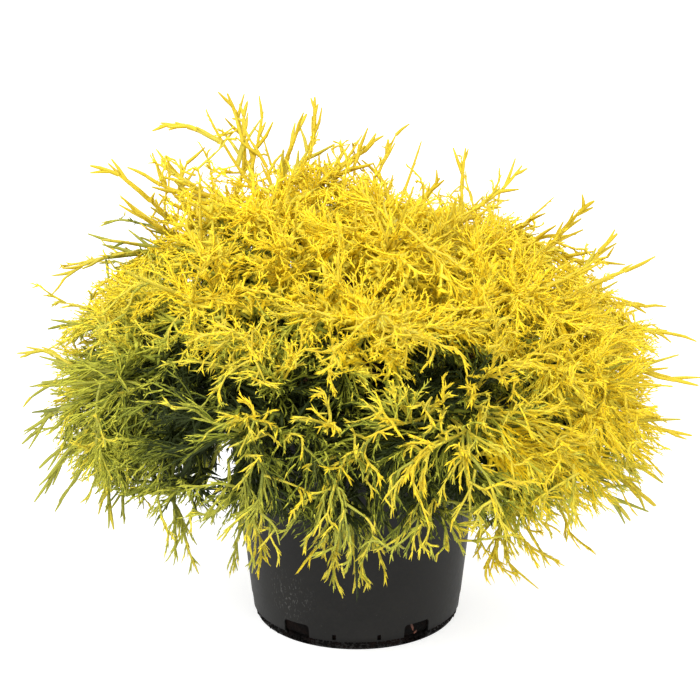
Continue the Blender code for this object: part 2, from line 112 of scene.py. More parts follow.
class Finish:
    """A procedural material round one Principled BSDF."""

    def __init__(self, name, **constants):
        self.material = bpy.data.materials.new(name)
        self.material.use_nodes = True
        self.tree = self.material.node_tree
        self.shader = self.tree.nodes["Principled BSDF"]
        for socket, value in constants.items():
            self.shader.inputs[socket.replace("_", " ")].default_value = value

    def node(self, kind, output, settings=None, inputs=None):
        """Adds a node and returns one of its outputs. A ramp's stops come as (place, grey)."""
        made = self.tree.nodes.new(kind)
        for name, value in (settings or {}).items():
            if name == "stops":
                ramp = made.color_ramp.elements
                ramp[0].position, ramp[1].position = value[0][0], value[-1][0]
                for element, (_, grey) in zip(ramp, (value[0], value[-1])):
                    element.color = (grey, grey, grey, 1.0)
                for place, grey in value[1:-1]:
                    ramp.new(place).color = (grey, grey, grey, 1.0)
            else:
                setattr(made, name, value)
        for name, value in (inputs or {}).items():
            self.connect(self.find(made.inputs, name), value)
        return Signal(self, self.find(made.outputs, output))

    def find(self, sockets, name):
        """A socket by its number, its identifier or its name."""
        if isinstance(name, int):
            return sockets[name]
        named = [socket for socket in sockets if socket.identifier == name]
        return named[0] if named else sockets[name]

    def connect(self, socket, value):
        if isinstance(value, Signal):
            self.tree.links.new(value.socket, socket)
        else:
            socket.default_value = value

    def feed(self, name, value):
        """Links a signal to one of the shader's own sockets."""
        self.connect(self.shader.inputs[name], value)

    def place(self, scale=(1.0, 1.0, 1.0), shift=(0.0, 0.0, 0.0)):
        """Object coordinates in metres, shifted and then scaled."""
        where = self.node("ShaderNodeTexCoord", "Object")
        inputs = {"Vector": where, "Location": shift, "Scale": scale}
        return self.node("ShaderNodeMapping", "Vector", {"vector_type": "POINT"}, inputs)

    def noise(self, vector, scale, detail=3.0, roughness=0.5):
        inputs = {"Vector": vector, "Scale": scale, "Detail": detail, "Roughness": roughness}
        return self.node("ShaderNodeTexNoise", "Fac", None, inputs)

    def ramp(self, value, *stops):
        """The value read off a grey ramp."""
        return self.node("ShaderNodeValToRGB", "Color", {"stops": stops}, {"Fac": value})

    def mix(self, factor, first, second):
        """One colour turning into another, each a colour of three numbers or a signal."""
        first, second = (c if isinstance(c, Signal) else (*c, 1.0) for c in (first, second))
        inputs = {"Factor_Float": factor, "A_Color": first, "B_Color": second}
        return self.node("ShaderNodeMix", "Result_Color", {"data_type": "RGBA"}, inputs)

    def bump(self, height, strength, distance):
        inputs = {"Height": height, "Strength": strength, "Distance": distance}
        self.feed("Normal", self.node("ShaderNodeBump", "Normal", None, inputs))


def wall(height):
    """Outer radius of the pot's wall at a height."""
    return POT_BASE_RADIUS + POT_SLOPE * height


def add_piece(name, mesh):
    piece = bpy.data.objects.new(name, mesh)
    bpy.context.scene.collection.objects.link(piece)
    return piece


def baked(piece):
    """Turns a piece and its modifiers into a plain mesh of the same name."""
    graph = bpy.context.evaluated_depsgraph_get()
    mesh = bpy.data.meshes.new_from_object(piece.evaluated_get(graph))
    name = piece.name
    bpy.data.objects.remove(piece)
    mesh.name = name
    return add_piece(name, mesh)


def spun(name, profile, steps):
    """A solid of revolution from (radius, height) points that start and end on the axis."""
    work = bmesh.new()
    verts = [work.verts.new((radius, 0.0, height)) for radius, height in profile]
    edges = [work.edges.new(pair) for pair in zip(verts, verts[1:])]
    turn = {"axis": (0, 0, 1), "cent": (0, 0, 0), "angle": 2 * math.pi, "steps": steps}
    bmesh.ops.spin(work, geom=verts + edges, **turn)
    bmesh.ops.remove_doubles(work, verts=work.verts, dist=0.00001)
    bmesh.ops.recalc_face_normals(work, faces=work.faces)
    mesh = bpy.data.meshes.new(name)
    work.to_mesh(mesh)
    work.free()
    return add_piece(name, mesh)


def drain_cutter(hole, azimuth):
    """A box with rounded upright edges, laid across the wall where a hole is cut."""
    work = bmesh.new()
    size = (0.026, hole["width"], hole["high"] - hole["low"])
    bmesh.ops.create_cube(work, matrix=Matrix.Diagonal((*size, 1.0)))
    across = [e for e in work.edges if abs(e.verts[0].co.x - e.verts[1].co.x) > size[0] / 2]
    bmesh.ops.bevel(work, geom=across, offset=hole["corner"], segments=4, affect="EDGES", profile=0.5)
    middle = Vector((POT_BASE_RADIUS, 0.0, (hole["low"] + hole["high"]) / 2))
    work.transform(Matrix.Rotation(math.radians(azimuth), 4, "Z") @ Matrix.Translation(middle))
    mesh = bpy.data.meshes.new("drain")
    work.to_mesh(mesh)
    work.free()
    return add_piece("drain", mesh)


foot = POT_BASE_RADIUS - FOOT_INSET
lip = POT_HEIGHT - LIP_HEIGHT
foot_inside = foot - POT_WALL
outside = [(0.0, 0.0), (foot - EDGE, 0.0), (foot - EDGE * 0.3, EDGE * 0.3), (foot, EDGE)]
outside += [(foot + FOOT_SPREAD, FOOT_HEIGHT), (wall(FOOT_HEIGHT), FOOT_HEIGHT + LEDGE)]
outside += [(wall(h), h) for h in np.linspace(FOOT_HEIGHT + 3 * LEDGE, lip, 12)]
outside += [(RIM_RADIUS - LEDGE / 2, lip + LEDGE), (RIM_RADIUS, lip + 2 * LEDGE)]
outside += [(RIM_RADIUS, POT_HEIGHT - EDGE), (RIM_RADIUS - EDGE * 0.3, POT_HEIGHT - EDGE * 0.3)]
outside += [(RIM_RADIUS - EDGE, POT_HEIGHT)]
inside = [(wall(POT_HEIGHT) - POT_WALL, POT_HEIGHT - LEDGE)]
inside += [(wall(FOOT_HEIGHT + POT_FLOOR) - POT_WALL, FOOT_HEIGHT + POT_FLOOR)]
inside += [(foot_inside + FOOT_SPREAD, FOOT_HEIGHT), (foot_inside, POT_FLOOR), (0.0, POT_FLOOR)]
pot = spun("nursery_pot", outside + inside, POT_STEPS)
for pair in range(3):
    for side in (-1, 1):
        for hole in (DRAIN, NOTCH):
            tool = drain_cutter(hole, -90 + 120 * pair + side * hole["half_angle"])
            hollow = pot.modifiers.new("hole", "BOOLEAN")
            hollow.operation = "DIFFERENCE"
            hollow.object = tool
            pot = baked(pot)
            bpy.data.objects.remove(tool)
pot.data.shade_smooth()
pot.data.set_sharp_from_angle(angle=math.radians(28))

plastic = Finish("black_plastic", Metallic=0.0, Specular_IOR_Level=0.16)
spot = plastic.place()
cloud = plastic.noise(spot, 18.0, 3.0)
dust = plastic.noise(spot, 260.0, 2.0, 0.7)
streak = plastic.noise(plastic.place(scale=(560.0, 560.0, 240.0)), 1.0, 2.0, 0.6)
near_scuff = plastic.node("ShaderNodeVectorMath", "Value", {"operation": "DISTANCE"},
                          {0: spot, 1: (-0.070, -0.092, 0.052)})
scuffed = (1.0 - near_scuff / 0.036).clamped() * (streak > 0.62) + (streak > 0.74) * 0.30
soiled = plastic.ramp(cloud * 0.6 + dust * 0.4, (0.40, 0.0), (0.72, 1.0))
dull = plastic.mix(soiled, (0.0075, 0.0072, 0.0066), (0.0150, 0.0142, 0.0126))
height = plastic.node("ShaderNodeSeparateXYZ", "Z", None, {"Vector": spot})
# Painted shade: the plastic turns nearly black towards the foot, for the shade under the ledge.
painted_foot_shade = ((FOOT_HEIGHT * 1.3 - height) / 0.004 + cloud * 1.5).clamped()
worn = plastic.mix(scuffed.clamped() * 0.30, dull, (0.21, 0.205, 0.195))
plastic.feed("Base Color", plastic.mix(painted_foot_shade * 0.75, worn, (0.0035, 0.0028, 0.0024)))
plastic.feed("Roughness", 0.47 + soiled * 0.16 + scuffed * 0.10)
plastic.bump(dust * 0.5 + streak * 0.3 + cloud, 0.22, 0.0006)
pot.data.materials.clear()
pot.data.materials.append(plastic.material)
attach(pot, "root")
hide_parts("pot")


# The potting mix fills the pot to 25 mm below its lip. It is damp shredded bark, nearly black,
# partly its own colour and partly painted shade for the dark inside of the drain holes, with paler
# red-brown chips on its surface and a few that show in the drain holes. Crumbs of it stick to the
# pot's foot in a dense band, which also stands for painted shade under the ledge.

MIX_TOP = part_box("potting_mix")[1].z
CHIP_LENGTH = 0.011
CHIP_GAP = 0.0075
HOLE_PATCH = {"half": 0.0050, "height": 0.0140, "sunk": 0.0012}
CRUMB_RADIUS = 0.0017
CRUMB_GAP = 0.0017
CRUMB_BAND = (0.0026, 0.0084)
CHIP_SEED = 11

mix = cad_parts["potting_mix"]
loam = Finish("damp_bark_mix", Metallic=0.0, Specular_IOR_Level=0.08)
grains = loam.noise(loam.place(), 240.0, 4.0, 0.65)
clods = loam.noise(loam.place(), 55.0, 3.0, 0.6)
reddish = loam.ramp(clods, (0.46, 0.0), (0.66, 1.0))
# Painted shade: the mix is near black, partly its own damp colour, partly the shade in the holes.
loam.feed("Base Color", loam.mix(reddish * grains, (0.0016, 0.0012, 0.0010), (0.012, 0.0050, 0.0032)))
loam.feed("Roughness", 0.78 + grains * 0.2)
loam.bump(grains * 0.6 + clods, 0.9, 0.004)
for slot in mix.material_slots:
    slot.material = loam.material


def chip_mesh():
    """One splinter of bark: a flat, bent sliver with a rough outline."""
    rng = np.random.default_rng(CHIP_SEED)
    work = bmesh.new()
    bmesh.ops.create_cube(work, matrix=Matrix.Diagonal((CHIP_LENGTH, 0.0042, 0.0016, 1.0)))
    lengthwise = [e for e in work.edges if abs(e.verts[0].co.x - e.verts[1].co.x) > 0.001]
    bmesh.ops.subdivide_edges(work, edges=lengthwise, cuts=3, use_grid_fill=True)
    for vert in work.verts:
        vert.co.y *= 1.0 - 0.6 * abs(vert.co.x) / (CHIP_LENGTH / 2) + rng.uniform(-0.18, 0.18)
        vert.co.z += rng.uniform(-0.0004, 0.0004) - 8.0 * vert.co.x ** 2
    bmesh.ops.recalc_face_normals(work, faces=work.faces)
    mesh = bpy.data.meshes.new("chip")
    work.to_mesh(mesh)
    work.free()
    return mesh


def crumb_mesh():
    """One crumb of damp mix: a lumpy little ball, flattened on the side that sticks to the pot."""
    rng = np.random.default_rng(CHIP_SEED)
    work = bmesh.new()
    bmesh.ops.create_icosphere(work, subdivisions=1, radius=CRUMB_RADIUS)
    for vert in work.verts:
        vert.co *= rng.uniform(0.7, 1.25)
        vert.co.z *= 0.5
    mesh = bpy.data.meshes.new("crumb")
    work.to_mesh(mesh)
    work.free()
    return mesh


def new_tree(name, **inputs):
    """An empty Geometry Nodes tree with a geometry input, named inputs and a geometry output."""
    tree = bpy.data.node_groups.new(name, "GeometryNodeTree")
    tree.interface.new_socket("Geometry", in_out="INPUT", socket_type="NodeSocketGeometry")
    for title, kind in inputs.items():
        tree.interface.new_socket(title, in_out="INPUT", socket_type="NodeSocket" + kind)
    tree.interface.new_socket("Geometry", in_out="OUTPUT", socket_type="NodeSocketGeometry")
    return tree, tree.nodes.new("NodeGroupInput"), tree.nodes.new("NodeGroupOutput")


def tree_node(tree, kind, settings=None, **inputs):
    """Adds a Geometry node. A socket's spaces are written as underscores in the keyword."""
    made = tree.nodes.new(kind)
    for name, value in (settings or {}).items():
        setattr(made, name, value)
    for name, value in inputs.items():
        socket = made.inputs[name.replace("_", " ")]
        if isinstance(value, bpy.types.NodeSocket):
            tree.links.new(value, socket)
        else:
            socket.default_value = value
    return made


def run_tree(piece, tree, **values):
    """Runs a Geometry Nodes tree on a piece with its inputs set, and bakes the result."""
    modifier = piece.modifiers.new(tree.name, "NODES")
    modifier.node_group = tree
    for item in tree.interface.items_tree:
        if item.in_out == "INPUT" and item.name in values:
            modifier[item.identifier] = values[item.name]
    return baked(piece)


litter, given, result = new_tree("litter", Chip="Object", Gap="Float", Seed="Int", Finish="Material")
spread = tree_node(litter, "GeometryNodeDistributePointsOnFaces", {"distribute_method": "POISSON"},
                   Mesh=given.outputs["Geometry"], Distance_Min=given.outputs["Gap"],
                   Density_Max=400000.0, Seed=given.outputs["Seed"])
chip_in = tree_node(litter, "GeometryNodeObjectInfo", {"transform_space": "ORIGINAL"},
                    Object=given.outputs["Chip"])
turn = tree_node(litter, "FunctionNodeRandomValue", {"data_type": "FLOAT_VECTOR"},
                 Seed=given.outputs["Seed"])
turn.inputs["Min"].default_value = (-0.35, -0.35, 0.0)
turn.inputs["Max"].default_value = (0.35, 0.35, 6.28)
spin = tree_node(litter, "FunctionNodeRotateRotation", {"rotation_space": "LOCAL"},
                 Rotation=spread.outputs["Rotation"], Rotate_By=turn.outputs["Value"])
grow = tree_node(litter, "FunctionNodeRandomValue", {"data_type": "FLOAT"},
                 Seed=given.outputs["Seed"])
grow.inputs[2].default_value = 0.5
grow.inputs[3].default_value = 1.35
dealt = tree_node(litter, "GeometryNodeInstanceOnPoints", Points=spread.outputs["Points"],
                  Instance=chip_in.outputs["Geometry"], Rotation=spin.outputs["Rotation"],
                  Scale=grow.outputs[1])
real = tree_node(litter, "GeometryNodeRealizeInstances", Geometry=dealt.outputs["Instances"])
coated = tree_node(litter, "GeometryNodeSetMaterial", Geometry=real.outputs["Geometry"],
                   Material=given.outputs["Finish"])
litter.links.new(coated.outputs["Geometry"], result.inputs["Geometry"])

chip = add_piece("chip", chip_mesh())
bark_chip = Finish("bark_chips", Metallic=0.0)
chip_spot = bark_chip.noise(bark_chip.place(), 90.0, 2.0)
fibre = bark_chip.noise(bark_chip.place(scale=(700.0, 700.0, 700.0)), 1.0, 2.0, 0.7)
warm = bark_chip.ramp(chip_spot, (0.42, 0.0), (0.62, 1.0))
bark_chip.feed("Base Color", bark_chip.mix(warm, (0.020, 0.011, 0.008), (0.165, 0.050, 0.026)))
bark_chip.feed("Roughness", 0.70 + fibre * 0.25)
bark_chip.bump(fibre, 0.5, 0.0008)

work = bmesh.new()
bmesh.ops.create_circle(work, cap_ends=True, segments=48, radius=wall(MIX_TOP) - 0.010)
bmesh.ops.translate(work, verts=work.verts, vec=(0.0, 0.0, MIX_TOP - 0.0025))
patch_radius = wall(HOLE_PATCH["height"]) - POT_WALL - HOLE_PATCH["sunk"]
facing_out = Matrix.Translation((patch_radius, 0.0, HOLE_PATCH["height"])) @ Matrix.Rotation(math.pi / 2, 4, "Y")
for pair in range(3):
    turned = Matrix.Rotation(math.radians(-90 + 120 * pair + DRAIN["half_angle"]), 4, "Z") @ facing_out
    bmesh.ops.create_grid(work, x_segments=1, y_segments=1, size=HOLE_PATCH["half"], matrix=turned)
bed = bpy.data.meshes.new("bark_litter")
work.to_mesh(bed)
work.free()
litter_values = {"Chip": chip, "Gap": CHIP_GAP, "Seed": CHIP_SEED, "Finish": bark_chip.material}
chips = run_tree(add_piece("bark_litter", bed), litter, **litter_values)
bpy.data.objects.remove(chip)

# Painted shade: a dense band of dark crumbs, partly real crumbs, partly the shade under the ledge.
work = bmesh.new()
band_height = CRUMB_BAND[1] - CRUMB_BAND[0]
bmesh.ops.create_cone(work, segments=POT_STEPS, radius1=foot, radius2=foot + FOOT_SPREAD, depth=band_height)
bmesh.ops.translate(work, verts=work.verts, vec=(0.0, 0.0, sum(CRUMB_BAND) / 2))
band = bpy.data.meshes.new("crumbs_on_foot")
work.to_mesh(band)
work.free()
crumb = add_piece("crumb", crumb_mesh())
litter_values = {"Chip": crumb, "Gap": CRUMB_GAP, "Seed": CHIP_SEED, "Finish": loam.material}
crumbs_and_foot_shade = run_tree(add_piece("crumbs_on_foot", band), litter, **litter_values)
bpy.data.objects.remove(crumb)
for litter_piece in (chips, crumbs_and_foot_shade):
    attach(litter_piece, "root")


# The stem and its boughs are young red-brown wood under stringy bark. The stem stands in the mix
# with a flared foot, and 24 boughs leave it all round in four tiers, arching out to the crown.

STEM_TOP = 0.352
STEM_LEAN = Vector((0.006, -0.003, 0.0))
STEM_RADII = {"foot": 0.0175, "low": 0.0125, "tip": 0.0070}
FLARE_HEIGHT = 0.018
CLEARANCE = 0.0003
UP = Vector((0.0, 0.0, 1.0))
TIERS = (
    ("top", 3, 60.0, 176.0, 0.334, 0.050, 0.385, 0.014),
    ("upper", 6, 28.0, 215.0, 0.314, 0.108, 0.338, 0.014),
    ("outer", 8, 3.0, 247.5, 0.288, 0.150, 0.288, 0.014),
    ("skirt", 7, -33.0, 270.0, 0.261, 0.156, 0.259, 0.007),
)
BOUGH_RADII = (0.0042, 0.0028)
BOUGH_SWEEP = 0.009
BOUGH_STAGGER = 0.0035
HEART = Vector((0.0, 0.0, 0.270))


def stem_point(height):
    return STEM_LEAN * ((height - MIX_TOP) / (STEM_TOP - MIX_TOP)) + UP * height


def stem_radius(height):
    share = (height - MIX_TOP) / (STEM_TOP - MIX_TOP)
    flare = max(0.0, 1 - (height - MIX_TOP) / FLARE_HEIGHT) ** 2
    body = STEM_RADII["low"] + (STEM_RADII["tip"] - STEM_RADII["low"]) * share
    return body + (STEM_RADII["foot"] - STEM_RADII["low"]) * flare


def along(curves, shares):
    """Points at shares of the way along quadratic curves, given as an array of three points each."""
    shares = np.asarray(shares)[..., None]
    a, b, c = curves[..., 0, :], curves[..., 1, :], curves[..., 2, :]
    return a * (1 - shares) ** 2 + b * (2 * shares * (1 - shares)) + c * shares**2


def unit(vectors):
    return vectors / np.linalg.norm(vectors, axis=-1, keepdims=True)


class Bough:
    """A bough and the heading and tier of the mass of foliage beyond it."""

    def __init__(self, tier, index):
        self.tier, count, elevation, first, height, end_radius, end_height, arch = tier
        azimuth = math.radians(first + 360.0 * index / count)
        rise = math.radians(elevation)
        flat = Vector((math.cos(azimuth), math.sin(azimuth), 0.0))
        self.outward = flat * math.cos(rise) + UP * math.sin(rise)
        self.name = f"{self.tier}_{index + 1}"
        self.root = stem_point(height + BOUGH_STAGGER * (-1) ** index)
        self.end = flat * end_radius + UP * end_height
        sweep = UP.cross(flat) * (BOUGH_SWEEP * (-1) ** (index // 2))
        bend = (self.root + self.end) / 2 + UP * arch + sweep
        self.curve = np.array([self.root, bend, self.end])
        self.ahead = (self.end - Vector(along(self.curve, 0.75))).normalized()


boughs = [Bough(tier, index) for tier in TIERS for index in range(tier[1])]


def chain_mesh(name, groups):
    """A mesh of loose chains of edges. Each group has arrays of equally long chains and radii."""
    starts = np.cumsum([0] + [points.shape[0] * points.shape[1] for points, _ in groups])
    links = []
    for start, (points, _) in zip(starts, groups):
        number = start + np.arange(points.shape[0] * points.shape[1]).reshape(points.shape[:2])
        links.append(np.stack([number[:, :-1], number[:, 1:]], axis=-1).reshape(-1, 2))
    places = np.concatenate([points.reshape(-1, 3) for points, _ in groups])
    thick = np.concatenate([radii.reshape(-1) for _, radii in groups])
    links = np.concatenate(links)
    mesh = bpy.data.meshes.new(name)
    mesh.vertices.add(len(places))
    mesh.vertices.foreach_set("co", places.astype(np.float32).ravel())
    mesh.edges.add(len(links))
    mesh.edges.foreach_set("vertices", links.astype(np.int32).ravel())
    thickness = mesh.attributes.new("thickness", "FLOAT", "POINT")
    thickness.data.foreach_set("value", thick.astype(np.float32))
    return mesh


limbs, given, result = new_tree("barked_limb", Sides="Int", Relief="Float", Finish="Material")
line = tree_node(limbs, "GeometryNodeMeshToCurve", Mesh=given.outputs["Geometry"])
ring = tree_node(limbs, "GeometryNodeCurvePrimitiveCircle", Resolution=given.outputs["Sides"],
                 Radius=1.0)
girth = tree_node(limbs, "GeometryNodeInputNamedAttribute", {"data_type": "FLOAT"},
                  Name="thickness")
wayside = tree_node(limbs, "GeometryNodeSplineParameter")
run = tree_node(limbs, "GeometryNodeStoreNamedAttribute", {"data_type": "FLOAT", "domain": "POINT"},
                Geometry=line.outputs["Curve"], Name="run", Value=wayside.outputs["Length"])
compass = tree_node(limbs, "GeometryNodeInputPosition")
around = tree_node(limbs, "GeometryNodeStoreNamedAttribute",
                   {"data_type": "FLOAT_VECTOR", "domain": "POINT"},
                   Geometry=ring.outputs["Curve"], Name="around", Value=compass.outputs["Position"])
skin = tree_node(limbs, "GeometryNodeCurveToMesh", Curve=run.outputs["Geometry"],
                 Profile_Curve=around.outputs["Geometry"], Scale=girth.outputs["Attribute"],
                 Fill_Caps=True)
run_read = tree_node(limbs, "GeometryNodeInputNamedAttribute", {"data_type": "FLOAT"}, Name="run")
turn_read = tree_node(limbs, "GeometryNodeInputNamedAttribute", {"data_type": "FLOAT_VECTOR"},
                      Name="around")
stretched = tree_node(limbs, "ShaderNodeVectorMath", {"operation": "SCALE"}, Scale=3.2)
limbs.links.new(turn_read.outputs["Attribute"], stretched.inputs[0])
rise = tree_node(limbs, "ShaderNodeMath", {"operation": "MULTIPLY"})
limbs.links.new(run_read.outputs["Attribute"], rise.inputs[0])
rise.inputs[1].default_value = 120.0
lift = tree_node(limbs, "ShaderNodeCombineXYZ", Z=rise.outputs["Value"])
spot = tree_node(limbs, "ShaderNodeVectorMath", {"operation": "ADD"})
limbs.links.new(stretched.outputs["Vector"], spot.inputs[0])
limbs.links.new(lift.outputs["Vector"], spot.inputs[1])
furrow = tree_node(limbs, "ShaderNodeTexNoise", Vector=spot.outputs["Vector"], Scale=1.0,
                   Detail=3.0, Roughness=0.7)
depth = tree_node(limbs, "ShaderNodeMath", {"operation": "MULTIPLY_ADD"})
limbs.links.new(furrow.outputs["Fac"], depth.inputs[0])
depth.inputs[1].default_value = 1.0
depth.inputs[2].default_value = -0.5
pushed = tree_node(limbs, "ShaderNodeMath", {"operation": "MULTIPLY"})
limbs.links.new(depth.outputs["Value"], pushed.inputs[0])
limbs.links.new(given.outputs["Relief"], pushed.inputs[1])
face_out = tree_node(limbs, "GeometryNodeInputNormal")
shove = tree_node(limbs, "ShaderNodeVectorMath", {"operation": "SCALE"},
                  Scale=pushed.outputs["Value"])
limbs.links.new(face_out.outputs["Normal"], shove.inputs[0])
rough = tree_node(limbs, "GeometryNodeSetPosition", Geometry=skin.outputs["Mesh"],
                  Offset=shove.outputs["Vector"])
smoothed = tree_node(limbs, "GeometryNodeSetShadeSmooth", {"domain": "FACE"},
                     Geometry=rough.outputs["Geometry"], Shade_Smooth=True)
real = tree_node(limbs, "GeometryNodeRealizeInstances", Geometry=smoothed.outputs["Geometry"])
coated = tree_node(limbs, "GeometryNodeSetMaterial", Geometry=real.outputs["Geometry"],
                   Material=given.outputs["Finish"])
limbs.links.new(coated.outputs["Geometry"], result.inputs["Geometry"])

bark = Finish("stringy_bark", Metallic=0.0)
strings = bark.node("ShaderNodeAttribute", "Vector", {"attribute_name": "around"})
flow = bark.node("ShaderNodeAttribute", "Fac", {"attribute_name": "run"})
upwards = bark.node("ShaderNodeCombineXYZ", "Vector", None, {"Z": flow * 90.0})
wound = bark.node("ShaderNodeVectorMath", "Vector", {"operation": "SCALE"},
                  {0: strings, "Scale": 4.0})
grain = bark.noise(bark.node("ShaderNodeVectorMath", "Vector", {"operation": "ADD"},
                             {0: wound, 1: upwards}), 1.6, 4.0, 0.65)
ridge = bark.ramp(grain, (0.36, 0.0), (0.64, 1.0))
bark.feed("Base Color", bark.mix(ridge, (0.045, 0.022, 0.014), (0.235, 0.125, 0.070)))
bark.feed("Roughness", 0.95 - ridge * 0.2)
bark.bump(grain, 0.6, 0.0012)

heights = np.linspace(MIX_TOP + CLEARANCE, STEM_TOP, 60)
stem_line = np.array([[stem_point(h) for h in heights]])
stem_girth = np.array([[stem_radius(h) for h in heights]])
stem_girth[0, -1] -= 0.0020
stem = run_tree(add_piece("barked_stem", chain_mesh("barked_stem", [(stem_line, stem_girth)])),
                limbs, Sides=40, Relief=0.0018, Finish=bark.material)
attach(stem, "root")
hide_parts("stem")

bough_shares = np.linspace(0.03, 1.0, 36)
bough_lines = np.stack([along(bough.curve, bough_shares) for bough in boughs])
bough_girths = np.tile(np.interp(bough_shares, (0.0, 1.0), BOUGH_RADII), (len(boughs), 1))
limb = run_tree(add_piece("barked_boughs", chain_mesh("barked_boughs", [(bough_lines, bough_girths)])),
                limbs, Sides=14, Relief=0.0009, Finish=bark.material)
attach(limb, "root")
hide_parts(*(f"bough_{bough.name}" for bough in boughs))


# The foliage is all shoots like threads, sheathed in tiny scale leaves that lie flat on them. A
# leader runs on from each bough and bears coarse twigs, and fine twigs with sprays of threads fill
# the crown. Stouter cords arch through it, forked like antlers, and stand out past the threads.

CROWN_RADIUS = 0.343
CROWN_RISE = 0.232
CROWN_DROP = 0.172
UPPER_POWER = 2.0
LOWER_POWER = 4.0
PEAK_DIRECTION = unit(np.array([-0.50, 0.02, 0.866]))
PEAK_GAIN = 0.25
PEAK_SHARPNESS = 7
LOWEST_TIP = 0.100
POT_MARGIN = 0.004
BARE_WALL = {"x": 0.077, "half": 0.036, "up_to": 0.160}
WHIP_REACH = 1.015
WHIP_DEPTH = 0.040
LEADER_REACH = 0.95
LEADER_BEND = 0.70
LEADER_RUN_ON = 0.020
HOLLOWS = unit(np.array([[0.36, -0.89, 0.27], [0.50, -0.83, 0.22], [-0.17, -0.96, 0.21],
                         [0.30, 0.92, 0.15], [-0.62, 0.78, 0.10]]))
HOLLOW_DEPTH = 0.14
HOLLOW_SHADE = 0.54
HOLLOW_OCHRE = 0.60
HOLLOW_SHARPNESS = 140
PIT_LEVELS = (0.50, 0.85)
PITTED_HEIGHTS = ((-0.6, 0.0), (-0.4, 1.0), (0.30, 1.0), (0.50, 0.2), (0.70, 0.0))
THIN_PLACES = unit(np.array([[0.86, 0.15, 0.48], [-0.50, 0.27, 0.82], [-0.86, 0.15, 0.48],
                             [0.45, -0.45, 0.77], [0.10, 0.85, 0.52], [0.45, 0.30, 0.84]]))
THIN_DEPTH = 0.06
PATCH_SHARPNESS = 22
DENSE_SHARES = ((-0.55, 0.80), (-0.15, 0.85), (0.15, 0.87), (0.45, 0.79))
SIDE_GAINS = ((-0.50, 0.0), (-0.33, 0.06), (-0.15, 0.035), (0.0, 0.01), (0.15, 0.0))
SKIRT_EDGE = ((-180.0, 0.138), (-168.0, 0.152), (-155.0, 0.170), (-139.0, 0.188), (-112.0, 0.187),
              (-90.0, 0.188), (-66.0, 0.185), (-52.0, 0.154), (-40.0, 0.128), (-20.0, 0.120), (30.0, 0.126),
              (90.0, 0.140), (150.0, 0.134), (180.0, 0.138))
ELEVATION = math.radians(17.87)
AIM_HEIGHT = 0.2831
SKY_GAP = (-0.133, -0.100)
SKY_GAP_RADIUS = 0.014
SHADED = unit(np.array([[-0.35, -0.93, -0.14], [-0.02, -0.98, -0.18], [0.28, -0.93, -0.22],
                        [-0.62, -0.78, 0.00], [0.05, -0.90, -0.42]]))
UNDER_SHADE = 0.54
SUNNY = unit(np.array([0.35, -0.05, 0.93]))
HANGING_LIGHT = 0.09
LEFT_LIGHT = 0.12
WANDER = 0.52
KINK = 0.0050
THINNING = 0.4
SEED = 7
COARSE_TWIGS = 250
FINE_TWIGS = 5500
LOBE_TWIGS = 3000
LOBE_FROM = 0.22
INNER_TWIGS = 3100
CORE_TWIGS = 600
CORDS = 260
ANTLERS = 1400
OBLATE = 0.70
WHIP_TIPS = np.array([[-0.131, 0.260], [-0.110, 0.250], [-0.043, 0.260], [-0.196, 0.223],
                      [-0.270, 0.187], [-0.257, 0.111], [-0.093, 0.236], [-0.049, 0.231],
                      [-0.014, 0.203], [0.002, 0.208], [0.020, 0.221], [-0.213, 0.176],
                      [-0.228, 0.145], [-0.107, 0.210], [-0.191, 0.188], [0.177, 0.134],
                      [0.198, 0.115], [0.256, 0.095], [-0.300, 0.071], [-0.325, 0.022],
                      [-0.326, -0.005], [-0.338, -0.051], [-0.329, -0.086], [-0.321, -0.120],
                      [-0.318, -0.150], [-0.299, -0.156], [-0.265, -0.169], [-0.235, -0.171],
                      [-0.275, -0.202], [-0.170, 0.190], [0.041, 0.223], [0.084, 0.174],
                      [0.110, 0.205], [0.165, 0.184], [0.231, 0.145], [0.262, 0.118],
                      [0.292, 0.089], [0.300, 0.045], [0.327, 0.015], [0.337, -0.035],
                      [0.333, -0.085], [0.336, -0.145], [0.322, -0.168], [0.290, -0.180]])
HANGING_TIPS = np.array([[-0.175, -0.155, 0.125], [-0.153, -0.150, 0.104], [-0.119, -0.165, 0.120],
                         [-0.092, -0.180, 0.126], [-0.053, -0.185, 0.126], [-0.030, -0.190, 0.118],
                         [-0.014, -0.200, 0.104], [-0.004, -0.190, 0.102], [0.012, -0.195, 0.112],
                         [0.027, -0.190, 0.122], [0.046, -0.185, 0.146], [0.068, -0.185, 0.196],
                         [0.090, -0.175, 0.176], [0.110, -0.175, 0.132], [0.125, -0.180, 0.110],
                         [0.145, -0.180, 0.116], [0.173, -0.180, 0.102], [0.195, -0.150, 0.116],
                         [0.230, -0.120, 0.116]])
HANGING_DROP = 0.085
CORDS_ON_LOBES = 0.18
WOODY_SHARE = 0.20
GOLDEN_ANGLE = math.pi * (3 - math.sqrt(5))
rng = np.random.default_rng(SEED)
heart = np.array(HEART)
up = np.array(UP)


def crown_reach(directions):
    """How far the furthest tips stand from the crown's heart, for unit directions."""
    flat = np.hypot(directions[..., 0], directions[..., 1])
    above = directions[..., 2] >= 0
    rise = np.where(above, CROWN_RISE, CROWN_DROP)
    power = np.where(above, UPPER_POWER, LOWER_POWER)
    total = (flat / CROWN_RADIUS) ** power + (np.abs(directions[..., 2]) / rise) ** power
    peak = np.maximum(0.0, directions @ PEAK_DIRECTION) ** PEAK_SHARPNESS
    return total ** (-1 / power) * (1 + PEAK_GAIN * peak)


def reach_share(points):
    """How far out a point lies, as a share of the crown's reach that way."""
    away = points - heart
    distance = np.linalg.norm(away, axis=-1)
    return distance / crown_reach(away / np.maximum(distance, 1e-6)[..., None])


def within(directions, patches, sharpness=PATCH_SHARPNESS):
    """How deep in one of the round patches of the crown a direction lies, from 0 to 1."""
    return (np.maximum(0.0, directions @ patches.T) ** sharpness).max(-1)


